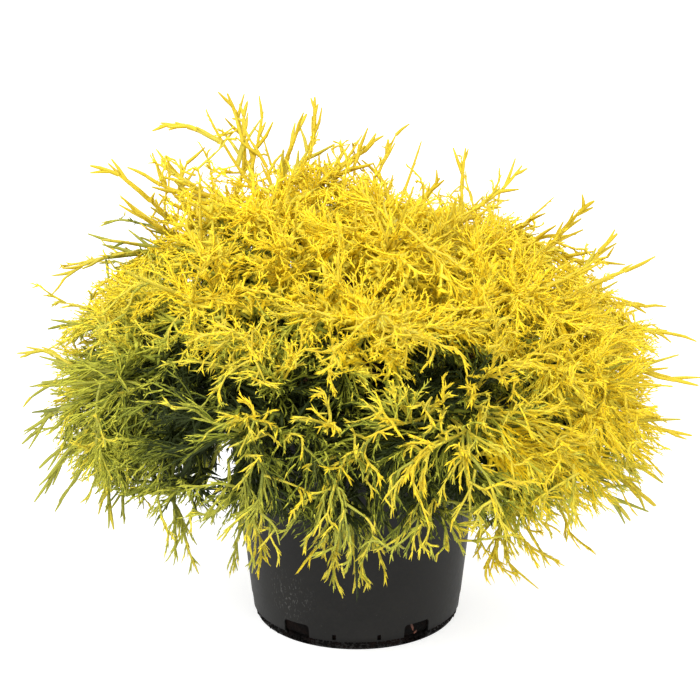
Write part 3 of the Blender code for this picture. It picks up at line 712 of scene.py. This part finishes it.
class Waves:
    """A smooth wandering field: sine waves that run and push in directions of their own."""

    def __init__(self, rng, count, shortest, longest):
        self.run = unit(rng.normal(size=(count, 3))) * 2 * math.pi
        self.run /= rng.uniform(shortest, longest, (count, 1))
        self.start = rng.uniform(0.0, 2 * math.pi, count)
        self.aim = unit(rng.normal(size=(count, 3))) * math.sqrt(2 / count)

    def __call__(self, points):
        return np.sin(points @ self.run.T + self.start) @ self.aim


drift = Waves(rng, 9, 0.09, 0.24)
pits = Waves(rng, 12, 0.040, 0.085)


def hollowed(directions):
    """How deep in a recess of the crown a direction lies, from 0 to 1. The sides are full of small
    pits between the sprays."""
    pitted = np.interp(pits(directions * CROWN_RADIUS)[..., 0], PIT_LEVELS, (0.0, 1.0))
    pitted *= np.interp(directions[..., 2], *zip(*PITTED_HEIGHTS))
    return np.maximum(pitted, within(directions, HOLLOWS, HOLLOW_SHARPNESS))


def dense_share(directions):
    """Where the dense threads end, as a share of the crown's reach."""
    sideways = np.clip((np.abs(directions[..., 0]) - 0.7) / 0.2, 0.0, 1.0)
    full = np.interp(directions[..., 2], *zip(*DENSE_SHARES))
    full += np.interp(directions[..., 2], *zip(*SIDE_GAINS)) * sideways
    full -= HOLLOW_DEPTH * hollowed(directions)
    return full - THIN_DEPTH * within(directions, THIN_PLACES)


def hangs_free(points):
    """True where foliage can be: outside the pot or above it, not under the skirt, and not where the
    photo shows the pot's wall bare."""
    beside = np.hypot(points[..., 0], points[..., 1]) > RIM_RADIUS + POT_MARGIN
    before = (np.abs(points[..., 0] - BARE_WALL["x"]) < BARE_WALL["half"]) & (points[..., 1] < 0)
    low = np.where(before, BARE_WALL["up_to"], LOWEST_TIP)
    return (points[..., 2] > low) & (beside | (points[..., 2] > POT_HEIGHT + POT_MARGIN))


def in_dense_part(points):
    """True where the fine threads grow. Their lower edge is highest over the front of the pot."""
    bearing = np.degrees(np.arctan2(points[..., 1], points[..., 0]))
    above = points[..., 2] > np.interp(bearing, *zip(*SKIRT_EDGE))
    return above & (reach_share(points) < dense_share(unit(points - heart)) + 0.05)


def off_the_gap(curves):
    """True for curves that stay clear of the place where the photo shows sky through the crown."""
    across = along(curves[:, None], np.linspace(0.0, 1.0, 6))
    height = (across[..., 2] - AIM_HEIGHT) * math.cos(ELEVATION) + across[..., 1] * math.sin(ELEVATION)
    distance = np.hypot(across[..., 0] - SKY_GAP[0], height - SKY_GAP[1])
    return (distance > SKY_GAP_RADIUS).all(axis=1)


def flow(points):
    """The way shoots lean at a point: out from the heart, and down the more the lower it is."""
    out = unit(points - heart)
    sag = np.interp(out[..., 2], (-0.4, 0.1, 0.8), (0.75, 0.42, -0.15))[..., None]
    return unit(out - up * sag + drift(points) * WANDER)


def spread_directions(count, rng):
    """Directions spread evenly over the flattened crown, a little shaken."""
    height = 1 - 2 * (np.arange(count) + 0.5) / count
    level = np.sqrt(1 - height**2)
    angle = GOLDEN_ANGLE * np.arange(count)
    even = np.stack([level * np.cos(angle), level * np.sin(angle), height * OBLATE], axis=-1)
    return unit(even + rng.normal(0.0, 0.8 / math.sqrt(count), even.shape))


def points_within(count, near, far, rng, dense=True):
    """Points spread through the crown between two shares of its dense part or its whole reach."""
    directions = spread_directions(count, rng)
    thinned = 1 - THIN_DEPTH * within(directions, THIN_PLACES)
    reach = crown_reach(directions) * (dense_share(directions) if dense else thinned)
    share = rng.uniform(near**3, far**3, count) ** (1 / 3)
    points = heart + directions * (reach * share)[:, None]
    return points[hangs_free(points) & (in_dense_part(points) | (not dense))]


class Shoots:
    """A batch of shoots. Each has a curve, the side its own shoots leave it on, its radii at root
    and tip, the number of its mass of foliage, and how light its colour is, from 0 to 1."""

    def __init__(self, curves, side, radii, mass, tone):
        self.curves, self.side, self.radii, self.mass, self.tone = curves, side, radii, mass, tone
        self.length = np.linalg.norm(np.diff(curves, axis=1), axis=-1).sum(-1)

    def __getitem__(self, pick):
        return Shoots(*(part[pick] for part in self.parts()))

    def parts(self):
        return self.curves, self.side, self.radii, self.mass, self.tone

    def heading(self, shares):
        shares = np.asarray(shares)[..., None]
        a, b, c = self.curves[:, 0], self.curves[:, 1], self.curves[:, 2]
        return unit((b - a) * (1 - shares) + (c - b) * shares)

    def kept(self, dense):
        """The shoots that stay off the pot and within the crown, or within its dense part."""
        middle, tip = along(self.curves, 0.5), self.curves[:, 2]
        inside = in_dense_part(tip) if dense else reach_share(tip) < WHIP_REACH
        return self[inside & hangs_free(tip) & hangs_free(middle) & off_the_gap(self.curves)]


def joined(*batches):
    return Shoots(*(np.concatenate(parts) for parts in zip(*(b.parts() for b in batches))))


def rolled_side(curves, spread, rng):
    """The side of each curve's spray: level, then rolled about the curve."""
    roll = rng.uniform(-spread, spread, len(curves))[:, None]
    heading = unit(curves[:, 2] - curves[:, 0])
    level = unit(np.cross(heading, up) + 1e-6)
    return level * np.cos(roll) + np.cross(level, heading) * np.sin(roll)


def light_of(points, rng, under_shade=UNDER_SHADE):
    """How light a spray's colour is. Gold above and outside and greener below is partly the
    plant's own colouring and partly painted light on the sunny side. Painted shade darkens it
    within the crown, in the recesses and in the shaded patches, and painted light lifts the
    threads on the left side and the low hanging cords.
    """
    directions = unit(points - heart)
    sunny = directions @ SUNNY
    hollow = hollowed(directions)
    depth = np.clip(dense_share(directions) + HOLLOW_DEPTH * hollow - reach_share(points), 0, 1)
    surface = np.interp(sunny, (-0.65, -0.30, 0.0, 0.32, 0.9), (0.40, 0.54, 0.66, 0.90, 1.02))
    if under_shade:
        surface += LEFT_LIGHT * np.interp(directions[:, 0], (-0.55, -0.30), (1.0, 0.0))
        surface -= under_shade * within(directions, SHADED) + HOLLOW_SHADE * hollow
        surface -= HOLLOW_SHADE * within(directions, HOLLOWS[:2], HOLLOW_SHARPNESS)
    else:
        surface += HANGING_LIGHT * np.interp(points[:, 2], (0.12, 0.16), (1.0, 0.0))
    shade = surface - (1.45 - 1.25 * sunny) * depth + 0.12 * drift(points)[:, 0]
    return shade + rng.normal(0, 0.08, len(points))


def grown_to(targets, limbs, roots, radii, rng, least=0.022, wave=0.05, under_shade=UNDER_SHADE):
    """Shoots that leave the best placed limb at an acute angle, end at the targets, and turn into
    the crown's flow on the way. Roots gives the first and last share of a limb, and the step."""
    shares = np.arange(*roots)
    points = np.concatenate([along(limbs.curves, np.full(len(limbs.mass), s)) for s in shares])
    heads = np.concatenate([limbs.heading(np.full(len(limbs.mass), s)) for s in shares])
    lean = flow(targets)
    best = []
    for target, way in zip(targets, lean):
        to = target - points
        span = np.linalg.norm(to, axis=-1)
        turn = (heads @ way + (to * heads).sum(-1) / span + to @ way / span) / 3
        cost = span * (1.8 - turn) + 3.0 * np.maximum(0.0, least - span)
        best.append((cost * rng.uniform(0.78, 1.25, cost.shape)).argmin())
    limb = limbs[np.array(best) % len(limbs.mass)]
    share = shares[np.array(best) // len(limbs.mass)] + rng.uniform(-0.5, 0.5, len(best)) * roots[2]
    share = np.clip(share, 0.0, 1.0)
    root, head = along(limb.curves, share), limb.heading(share)
    span = np.linalg.norm(targets - root, axis=-1)[:, None]
    bend = (root + targets) / 2 + (head - lean) * span * 0.24
    bend += rng.normal(0.0, wave, bend.shape) * span
    curves = np.stack([root, bend, targets], axis=1)
    tone = light_of(targets, rng, under_shade)
    side = rolled_side(curves, 0.9, rng)
    grown = Shoots(curves, side, np.tile(radii, (len(best), 1)), limb.mass, tone)
    return grown[off_the_gap(curves)]


def low_to_high(points, pair):
    """A value that changes from low on the crown to its top, as a column."""
    return np.interp(unit(points - heart)[:, 2:], (0.0, 0.5), pair)


def branch(parents, rng, spacing, length, angle, radii, span=(0.06, 1.0), taper=0.40, roll=0.55,
           comb=(0.45, 0.18), curl=(0.22, 0.62), lift=0.30, follow=0.0, least_reach=0.0, dense=True):
    """Side shoots, left and right by turns. Each leaves at an angle, near the flat of its parent's
    spray, and bends back into the crown's flow. Those nearer the tip are shorter and lighter, and
    where follow isn't zero, those on the thinner parts of a cord are shorter too. Low on the crown
    they are combed one way, and on top they curl."""
    room = (span[1] - span[0]) * parents.length / spacing
    counts = (room + rng.uniform(0.0, 1.0, len(room))).astype(int)
    parent = np.repeat(np.arange(len(counts)), counts)
    order = np.arange(counts.sum()) - np.repeat(np.cumsum(counts) - counts, counts)
    share = span[0] + (span[1] - span[0]) * (order + rng.uniform(0, 1, len(order))) / counts[parent]
    chosen = parents[parent]
    root, heading = along(chosen.curves, share), chosen.heading(share)
    side = unit(chosen.side - heading * (chosen.side * heading).sum(-1, keepdims=True))
    way = np.where((order + parent) % 2 == 0, 1.0, -1.0)[:, None]
    turn = rng.normal(0.0, roll, (len(share), 1))
    sideways = side * way * np.cos(turn) + np.cross(heading, side) * np.sin(turn)
    opened = angle * rng.uniform(0.5, 1.45, (len(share), 1)) * low_to_high(root, (0.9, 1.5))
    aim = heading * np.cos(opened) + sideways * np.sin(opened)
    girth = chosen.radii[:, 0] + (chosen.radii[:, 1] - chosen.radii[:, 0]) * share
    size = length * (1 - taper * share) * rng.uniform(0.5, 1.4, len(share))
    size = (size * (girth / girth.max()) ** follow)[:, None] * low_to_high(root, (1.0, 0.75))
    bend = root + aim * size * 0.5
    combed = low_to_high(root, comb)
    curled = rng.normal(0.0, 1.0, bend.shape) * low_to_high(root, curl)
    tip = bend + unit(aim * (1 - combed) + flow(root) * combed + curled) * size * 0.5
    tone = chosen.tone + lift * (share - 0.55) + rng.normal(0.0, 0.06, len(share))
    curves = np.stack([root, bend, tip], axis=1)
    thick = np.array(radii) * (girth / girth.max())[:, None] ** (THINNING * follow)
    grown = Shoots(curves, sideways, thick, chosen.mass, tone)
    return grown[reach_share(root) > least_reach].kept(dense)


def jointed(shoots, rng, tones, kink=KINK):
    """Cuts each shoot into three lengths that meet at small kinks, and shades each length."""
    cuts = np.array([0.0, 0.38, 0.70, 1.0])
    knots = along(shoots.curves[:, None], cuts)
    knots[:, 1:3] += rng.normal(0.0, kink, knots[:, 1:3].shape)
    runs = np.gradient(knots, axis=1)
    starts, ends = knots[:, :-1], knots[:, 1:]
    bends = (starts + ends) / 2 + (runs[:, :-1] - runs[:, 1:]) / 4
    curves = np.stack([starts, bends, ends], axis=2).reshape(-1, 3, 3)
    radii = shoots.radii[:, :1] + (shoots.radii[:, 1:] - shoots.radii[:, :1]) * cuts
    pairs = np.stack([radii[:, :-1], radii[:, 1:]], axis=2).reshape(-1, 2)
    tone = (shoots.tone[:, None] + np.array(tones)).ravel()
    return Shoots(curves, np.repeat(shoots.side, 3, axis=0), pairs, np.repeat(shoots.mass, 3), tone)


def bare_shoots(curves, radii, tone, rng):
    """Boughs or leaders as shoots, one to each mass."""
    count = len(curves)
    numbers = np.arange(count)
    side = rolled_side(curves, 0.4, rng)
    return Shoots(curves, side, np.tile(radii, (count, 1)), numbers, np.full(count, tone))


leaders = []
for bough in boughs:
    reach = float(crown_reach(np.array(bough.outward)))
    start = bough.end + bough.ahead * CLEARANCE
    bend = start.lerp(HEART + bough.outward * (reach * LEADER_BEND), 0.9)
    tip = HEART + bough.outward * (reach * LEADER_REACH)
    leaders.append([start, bend + bough.ahead * LEADER_RUN_ON, tip])
leader = bare_shoots(np.array(leaders), (0.0024, 0.0012), 0.72, rng)
bough_lead = bare_shoots(np.array([bough.curve for bough in boughs]), BOUGH_RADII, 0.0, rng)

sight_up = np.array([0.0, math.sin(ELEVATION), math.cos(ELEVATION)])
whip_tips = WHIP_TIPS[:, :1] * np.array([1.0, 0.0, 0.0]) + WHIP_TIPS[:, 1:] * sight_up
whip_tips += up * AIM_HEIGHT - heart
whip_tips += rng.normal(0.0, WHIP_DEPTH, (len(whip_tips), 1)) * np.cross(sight_up, [1.0, 0.0, 0.0])
whip_tips *= np.minimum(1.0, WHIP_REACH / reach_share(heart + whip_tips))[:, None]

coarse_targets = points_within(COARSE_TWIGS, 0.84, 1.0, rng)
above_hanging = HANGING_TIPS * np.array([0.92, 0.92, 1.0]) + up * HANGING_DROP
coarse_targets = np.concatenate([coarse_targets, above_hanging])
coarse = grown_to(coarse_targets, joined(bough_lead, leader), (0.04, 0.90, 0.07), (0.0019, 0.0010),
                  rng, 0.045, under_shade=UNDER_SHADE / 2)
limbs_to_fill = joined(leader, coarse)
fine_targets = points_within(FINE_TWIGS, 0.66, 1.0, rng)
on_lobes = points_within(LOBE_TWIGS, 0.70, 1.0, rng)
on_lobes = on_lobes[(np.abs(on_lobes[:, 0]) > LOBE_FROM) & (on_lobes[:, 2] < heart[2] + 0.08)]
fine = grown_to(np.concatenate([fine_targets, on_lobes]), limbs_to_fill, (0.05, 1.0, 0.08),
                (0.00090, 0.00072), rng)
inner = grown_to(points_within(INNER_TWIGS, 0.32, 0.90, rng), joined(bough_lead, leader, coarse),
                 (0.05, 1.0, 0.08), (0.0022, 0.0015), rng, 0.030)
# Painted shade: inner twigs are darker, partly their own dull green and wood, partly crown shade.
inner.tone -= 0.25


def cord_places(count, near, far, rng):
    """Places for the tips of cords: most at the front and back, few on the furry side lobes and on
    top, and none in front of the pot's wall, where the hanging cords are."""
    places = points_within(count, near, far, rng, dense=False)
    ways = unit(places - heart)
    furry = (np.abs(ways[:, 1]) < 0.62) | (ways[:, 2] > 0.48) | (ways[:, 0] < -0.55)
    over_wall = (np.abs(places[:, 0]) < 0.16) & (places[:, 1] < 0) & (places[:, 2] < 0.18)
    under_left = (places[:, 0] < -0.10) & (places[:, 2] < 0.175)
    luck = rng.uniform(size=len(places))
    rare = over_wall | under_left
    return places[(luck < np.where(furry, CORDS_ON_LOBES, 1.0)) & (~rare | (luck < 0.10))]


long_cord = grown_to(cord_places(CORDS, 0.80, 0.98, rng), limbs_to_fill, (0.05, 0.80, 0.13),
                     (0.0018, 0.0010), rng, 0.060, 0.09, 0.0)
whip = grown_to(heart + whip_tips, limbs_to_fill, (0.05, 0.90, 0.13), (0.0030, 0.0018), rng, 0.075,
                0.10, 0.0)
low_whip = (whip.curves[:, 2, 0] < -0.20) & (whip.curves[:, 2, 2] < 0.40)
whip.radii[low_whip] *= 0.85
hung = grown_to(HANGING_TIPS, coarse, (0.60, 1.0, 0.10), (0.0021, 0.0010), rng, 0.045, 0.09, 0.0)
antler = grown_to(cord_places(ANTLERS, 0.76, 0.94, rng), joined(limbs_to_fill, long_cord),
                  (0.30, 0.95, 0.12), (0.0014, 0.0009), rng, 0.036, 0.14, 0.0)
cord = joined(jointed(long_cord, rng, (-0.20, 0.0, 0.05)), jointed(antler, rng, (-0.08, 0.0, 0.05)))
plume = jointed(whip, rng, (-0.20, 0.0, 0.05), KINK * 0.8)
spray = jointed(hung, rng, (-0.15, 0.0, 0.05))
leader.tone = light_of(leader.curves[:, 2], rng) - 0.10
cord.tone += 0.04
plume.tone = np.maximum(plume.tone + 0.04, 0.42 + rng.normal(0.0, 0.06, len(plume.tone)))
spray.tone += 0.12

fine_side = branch(fine, rng, 0.0066, 0.032, 0.34, (0.00092, 0.00066), curl=(0.22, 0.80),
                   least_reach=0.42)
fine_thread = branch(fine_side, rng, 0.0037, 0.0108, 0.40, (0.00085, 0.0005), curl=(0.22, 1.0),
                     least_reach=0.62)
inner_side = branch(inner, rng, 0.0066, 0.034, 0.60, (0.0031, 0.0018))
fork = branch(cord, rng, 0.0125, 0.022, 0.44, (0.0013, 0.0009), taper=0.10, follow=0.9,
              comb=(0.60, 0.28), dense=False)
plume_fork = branch(plume, rng, 0.0115, 0.048, 0.33, (0.0024, 0.0016), taper=0.10, follow=1.1,
                    curl=(0.15, 0.22), dense=False)
spray_fork = branch(spray, rng, 0.0080, 0.034, 0.42, (0.0013, 0.0009), taper=0.10, follow=1.6,
                    comb=(0.25, 0.25), dense=False)
fork = joined(fork, spray_fork)
twiglet = branch(fork, rng, 0.010, 0.011, 0.44, (0.0011, 0.0008), span=(0.15, 1.0), taper=0.25,
                 comb=(0.55, 0.25), dense=False)
scaled = joined(cord, spray, fork, leader, coarse)
scale_shoot = branch(scaled, rng, 0.0033, 0.0110, 0.20, (0.0010, 0.0007), span=(0.1, 1.0), roll=1.5,
                     comb=(0.08, 0.08), curl=(0.12, 0.16), lift=0.10, dense=False)
close_scale = branch(joined(plume, plume_fork), rng, 0.0024, 0.0090, 0.13, (0.0011, 0.0008),
                     span=(0.0, 0.95), roll=1.5, comb=(0.0, 0.0), curl=(0.05, 0.05), lift=0.10,
                     follow=0.5, dense=False)
scale_shoot = joined(scale_shoot, close_scale)
fork = joined(fork, plume_fork)

core = grown_to(points_within(CORE_TWIGS, 0.30, 0.74, rng), joined(bough_lead, leader, coarse),
                (0.05, 1.0, 0.08), (0.0026, 0.0018), rng, 0.030)
# Painted shade: core twigs are darker, partly their own dull green and wood, partly crown shade.
core.tone -= 0.25
core_side = branch(core, rng, 0.0066, 0.036, 0.70, (0.0034, 0.0020))
inner = joined(inner, core)
inner_side = joined(inner_side, core_side)

# The darker shades stand partly for the foliage's own greener colour, partly for painted shade.
SHADES = (
    ("deep_green", -9.0, (0.028, 0.040, 0.006), "foliage_lime"),
    ("olive", 0.06, (0.125, 0.142, 0.012), "foliage_lime"),
    ("moss", 0.20, (0.245, 0.268, 0.026), "foliage_lime"),
    ("lime", 0.37, (0.500, 0.495, 0.050), "foliage_lime"),
    ("lemon", 0.56, (0.830, 0.690, 0.050), "foliage_yellow"),
    ("gold", 0.80, (0.950, 0.715, 0.026), "foliage_gold"),
    ("ochre", 9.0, (0.920, 0.665, 0.014), "foliage_gold"),
)
OCHRE_FROM = 0.24
GREENER = unit(np.array([-0.85, -0.45, -0.28]))
GREENER_FROM = 0.82
LIME_UP_TO = 0.70
OCHRE_DEPTH = 1.3

threads, given, result = new_tree("threads", Sides="Int", Finish="Material")
line = tree_node(threads, "GeometryNodeMeshToCurve", Mesh=given.outputs["Geometry"])
ring = tree_node(threads, "GeometryNodeCurvePrimitiveCircle", Resolution=given.outputs["Sides"],
                 Radius=1.0)
girth = tree_node(threads, "GeometryNodeInputNamedAttribute", {"data_type": "FLOAT"},
                  Name="thickness")
skin = tree_node(threads, "GeometryNodeCurveToMesh", Curve=line.outputs["Curve"],
                 Profile_Curve=ring.outputs["Curve"], Scale=girth.outputs["Attribute"],
                 Fill_Caps=True)
pointed = tree_node(threads, "GeometryNodeMergeByDistance", {"mode": "CONNECTED"},
                    Geometry=skin.outputs["Mesh"], Distance=0.00001)
smoothed = tree_node(threads, "GeometryNodeSetShadeSmooth", {"domain": "FACE"},
                     Geometry=pointed.outputs["Geometry"], Shade_Smooth=True)
real = tree_node(threads, "GeometryNodeRealizeInstances", Geometry=smoothed.outputs["Geometry"])
coated = tree_node(threads, "GeometryNodeSetMaterial", Geometry=real.outputs["Geometry"],
                   Material=given.outputs["Finish"])
threads.links.new(coated.outputs["Geometry"], result.inputs["Geometry"])


def thread_finish(name, colour):
    """Fine shoots in one colour, mottled, since each tiny leaf has a paler tip."""
    finish = Finish(name, Metallic=0.0, Specular_IOR_Level=0.16)
    scales = finish.noise(finish.place(), 900.0, 1.0)
    patch = finish.noise(finish.place(), 30.0, 1.0)
    pale = finish.ramp(scales * 0.7 + patch * 0.3, (0.36, 0.0), (0.62, 1.0))
    dark = tuple(channel * 0.88 for channel in colour)
    finish.feed("Base Color", finish.mix(pale, dark, tuple(min(1.0, c * 1.03) for c in colour)))
    finish.feed("Roughness", 0.62 - pale * 0.12)
    return finish.material


def cord_finish(name, colour):
    """A cord in one colour, with rows of scale leaves that are darker at their bases."""
    finish = Finish(name, Metallic=0.0, Specular_IOR_Level=0.20)
    run = finish.node("ShaderNodeAttribute", "Fac", {"attribute_name": "run"})
    around = finish.node("ShaderNodeAttribute", "Vector", {"attribute_name": "around"})
    turned = finish.node("ShaderNodeSeparateXYZ", "X", None, {"Vector": around})
    leaf = finish.node("ShaderNodeMath", "Value", {"operation": "FRACT"},
                       {0: run / 0.0019 + turned * 0.40})
    scales = finish.noise(finish.place(), 800.0, 2.0)
    pale = finish.ramp(leaf * 0.25 + scales * 0.75, (0.34, 0.0), (0.62, 1.0))
    dark = tuple(channel * 0.56 for channel in colour)
    light = tuple(channel * 0.70 + 0.016 for channel in colour)
    finish.feed("Base Color", finish.mix(pale, dark, light))
    finish.feed("Roughness", 0.62 - pale * 0.14)
    finish.bump(leaf * 0.6 + scales * 0.4, 0.5, 0.0006)
    return finish.material


def sampled(shoots, count, first=0.0, last=1.0, tip=0.55):
    """Centre lines and radii of a batch of shoots, with so many points to each."""
    shares = np.linspace(first, last, count)
    lines = np.stack([along(shoots.curves, np.full(len(shoots.mass), s)) for s in shares], axis=1)
    radii = shoots.radii[:, :1] + (shoots.radii[:, 1:] - shoots.radii[:, :1]) * shares
    if last == 1.0:
        radii[:, -1] *= tip
    return lines, radii


young_wood = Finish("young_wood", Metallic=0.0)
flecks = young_wood.noise(young_wood.place(), 420.0, 2.0)
young_wood.feed("Base Color", young_wood.mix(flecks, (0.030, 0.027, 0.008), (0.090, 0.076, 0.018)))
young_wood.feed("Roughness", 0.70 + flecks * 0.2)
deep_rooted = coarse[reach_share(coarse.curves[:, 0]) < 0.55]
wooden = [sampled(leader, 6, 0.0, WOODY_SHARE), sampled(deep_rooted, 5, 0.0, WOODY_SHARE)]
twig_wood = run_tree(add_piece("twig_wood", chain_mesh("twig_wood", wooden)), limbs, Sides=7,
                     Relief=0.0004, Finish=young_wood.material)
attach(twig_wood, "root")

thread_batches = ((fine, 4, 0.0), (inner, 3, 0.0), (fine_side, 3, 0.0), (inner_side, 2, 0.0),
                  (fine_thread, 2, 0.0), (scale_shoot, 2, 0.0))
cord_batches = ((leader, 8, WOODY_SHARE), (coarse, 6, 0.0), (cord, 3, 0.0), (plume, 4, 0.0),
                (spray, 4, 0.0), (fork, 3, 0.0), (twiglet, 2, 0.0))
limits = np.array([shade[1] for shade in SHADES])
tier_of_mass = np.array([bough.tier for bough in boughs])


def rank_of(shoots):
    """The number of each shoot's shade. In the sunny part the dull shades, darkened by painted
    shade, turn to ochre, a slightly darker gold, but not in the recesses or deep within. Low on
    the left side most of the lemon shade stays lime, and there is no gold."""
    rank = np.searchsorted(limits, shoots.tone, side="right") - 1
    directions = unit(shoots.curves[:, 1] - heart)
    sunny = directions @ SUNNY + 0.2 * drift(shoots.curves[:, 1])[:, 0]
    sunny -= HOLLOW_OCHRE * hollowed(directions)
    sunny -= OCHRE_DEPTH * np.clip(0.72 - reach_share(shoots.curves[:, 1]), 0.0, 1.0)
    rank[(sunny > OCHRE_FROM) & (rank < 4)] = len(SHADES) - 1
    green = directions @ GREENER + 0.15 * drift(shoots.curves[:, 1])[:, 1] > GREENER_FROM
    light = green & (rank > 3)
    rank[light] = np.where(shoots.tone[light] < LIME_UP_TO, 3, 4)
    return rank


def picked(batches, rank, tip, tier=None):
    """The parts of some batches that are in one shade, and in one tier where it is given."""
    groups = []
    for shoots, points, first in batches:
        chosen = rank_of(shoots) == rank
        if tier:
            chosen &= tier_of_mass[shoots.mass] == tier
        if chosen.any():
            groups.append(sampled(shoots[chosen], points, first, tip=tip))
    return groups


total = 0
for rank, (name, _, colour, slot) in enumerate(SHADES):
    finish = thread_finish(f"{name}_threads", colour)
    for tier in ("top", "upper", "outer", "skirt"):
        title = f"{tier}_{name}_threads"
        groups = picked(thread_batches, rank, 0.0, tier)
        if not groups:
            continue
        tuft = run_tree(add_piece(title, chain_mesh(title, groups)), threads, Sides=3, Finish=finish)
        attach(tuft, "root")
        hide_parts(*(f"foliage_{b.name}" for b in boughs if b.tier == tier))
        faces = sum(len(p.vertices) - 2 for p in tuft.data.polygons)
        total += faces
        print("piece", title, faces)
    title = f"{name}_cords"
    groups = picked(cord_batches, rank, 0.55)
    if groups:
        cords = run_tree(add_piece(title, chain_mesh(title, groups)), limbs, Sides=4,
                         Relief=0.0006, Finish=cord_finish(title, colour))
        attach(cords, "root")
        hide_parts(*(f"foliage_{b.name}" for b in boughs))
        faces = sum(len(p.vertices) - 2 for p in cords.data.polygons)
        total += faces
        print("piece", title, faces)
print("foliage triangles", total,
      [len(b.mass) for b, _, _ in thread_batches + cord_batches])


# The studio: a plain pale floor, soft light from the upper left, and the camera of the photograph,
# 2 m away and 18 degrees above level.

FOCAL_PX = 1976.5
FRAME_PX = 700
AXIS_PX = 356.6
DISTANCE = 2.0

work = bmesh.new()
bmesh.ops.create_grid(work, x_segments=1, y_segments=1, size=15.0)
ground = bpy.data.meshes.new("floor")
work.to_mesh(ground)
work.free()
floor = add_piece("floor", ground)
card = Finish("pale_floor", Roughness=0.9, Metallic=0.0, Specular_IOR_Level=0.1)
card.feed("Base Color", card.mix(card.noise(card.place(), 3.0), (0.52, 0.52, 0.52), (0.54, 0.54, 0.54)))
card.shader.inputs["Emission Color"].default_value = (1.0, 1.0, 1.0, 1.0)
card.shader.inputs["Emission Strength"].default_value = 0.70
floor.data.materials.append(card.material)


def softbox(name, place, size, power, aim=Vector((0.0, 0.0, 0.25))):
    lamp = bpy.data.lights.new(name, "AREA")
    lamp.energy, lamp.size = power, size
    made = bpy.data.objects.new(name, lamp)
    made.location = place
    made.rotation_euler = (aim - Vector(place)).to_track_quat("-Z", "Y").to_euler()
    bpy.context.scene.collection.objects.link(made)


softbox("key", (-0.9, -2.3, 2.6), 0.9, 84.0)
softbox("fill", (2.4, -1.2, 1.6), 1.6, 7.0)
softbox("back", (0.4, 2.2, 2.4), 1.6, 38.0)

world = bpy.data.worlds.new("studio")
world.use_nodes = True
world.node_tree.nodes["Background"].inputs["Color"].default_value = (1.0, 1.0, 1.0, 1.0)
world.node_tree.nodes["Background"].inputs["Strength"].default_value = 1.20
bpy.context.scene.world = world
bpy.context.scene.view_settings.view_transform = "Standard"

view = bpy.data.cameras.new("camera")
view.sensor_width = 36.0
view.lens = FOCAL_PX * view.sensor_width / FRAME_PX
camera = bpy.data.objects.new("camera", view)
target = Vector(((FRAME_PX / 2 - AXIS_PX) * DISTANCE / FOCAL_PX, 0.0, AIM_HEIGHT))
away = Vector((0.0, -math.cos(ELEVATION), math.sin(ELEVATION)))
camera.location = target + away * DISTANCE
camera.rotation_euler = (-away).to_track_quat("-Z", "Y").to_euler()
bpy.context.scene.collection.objects.link(camera)
bpy.context.scene.camera = camera
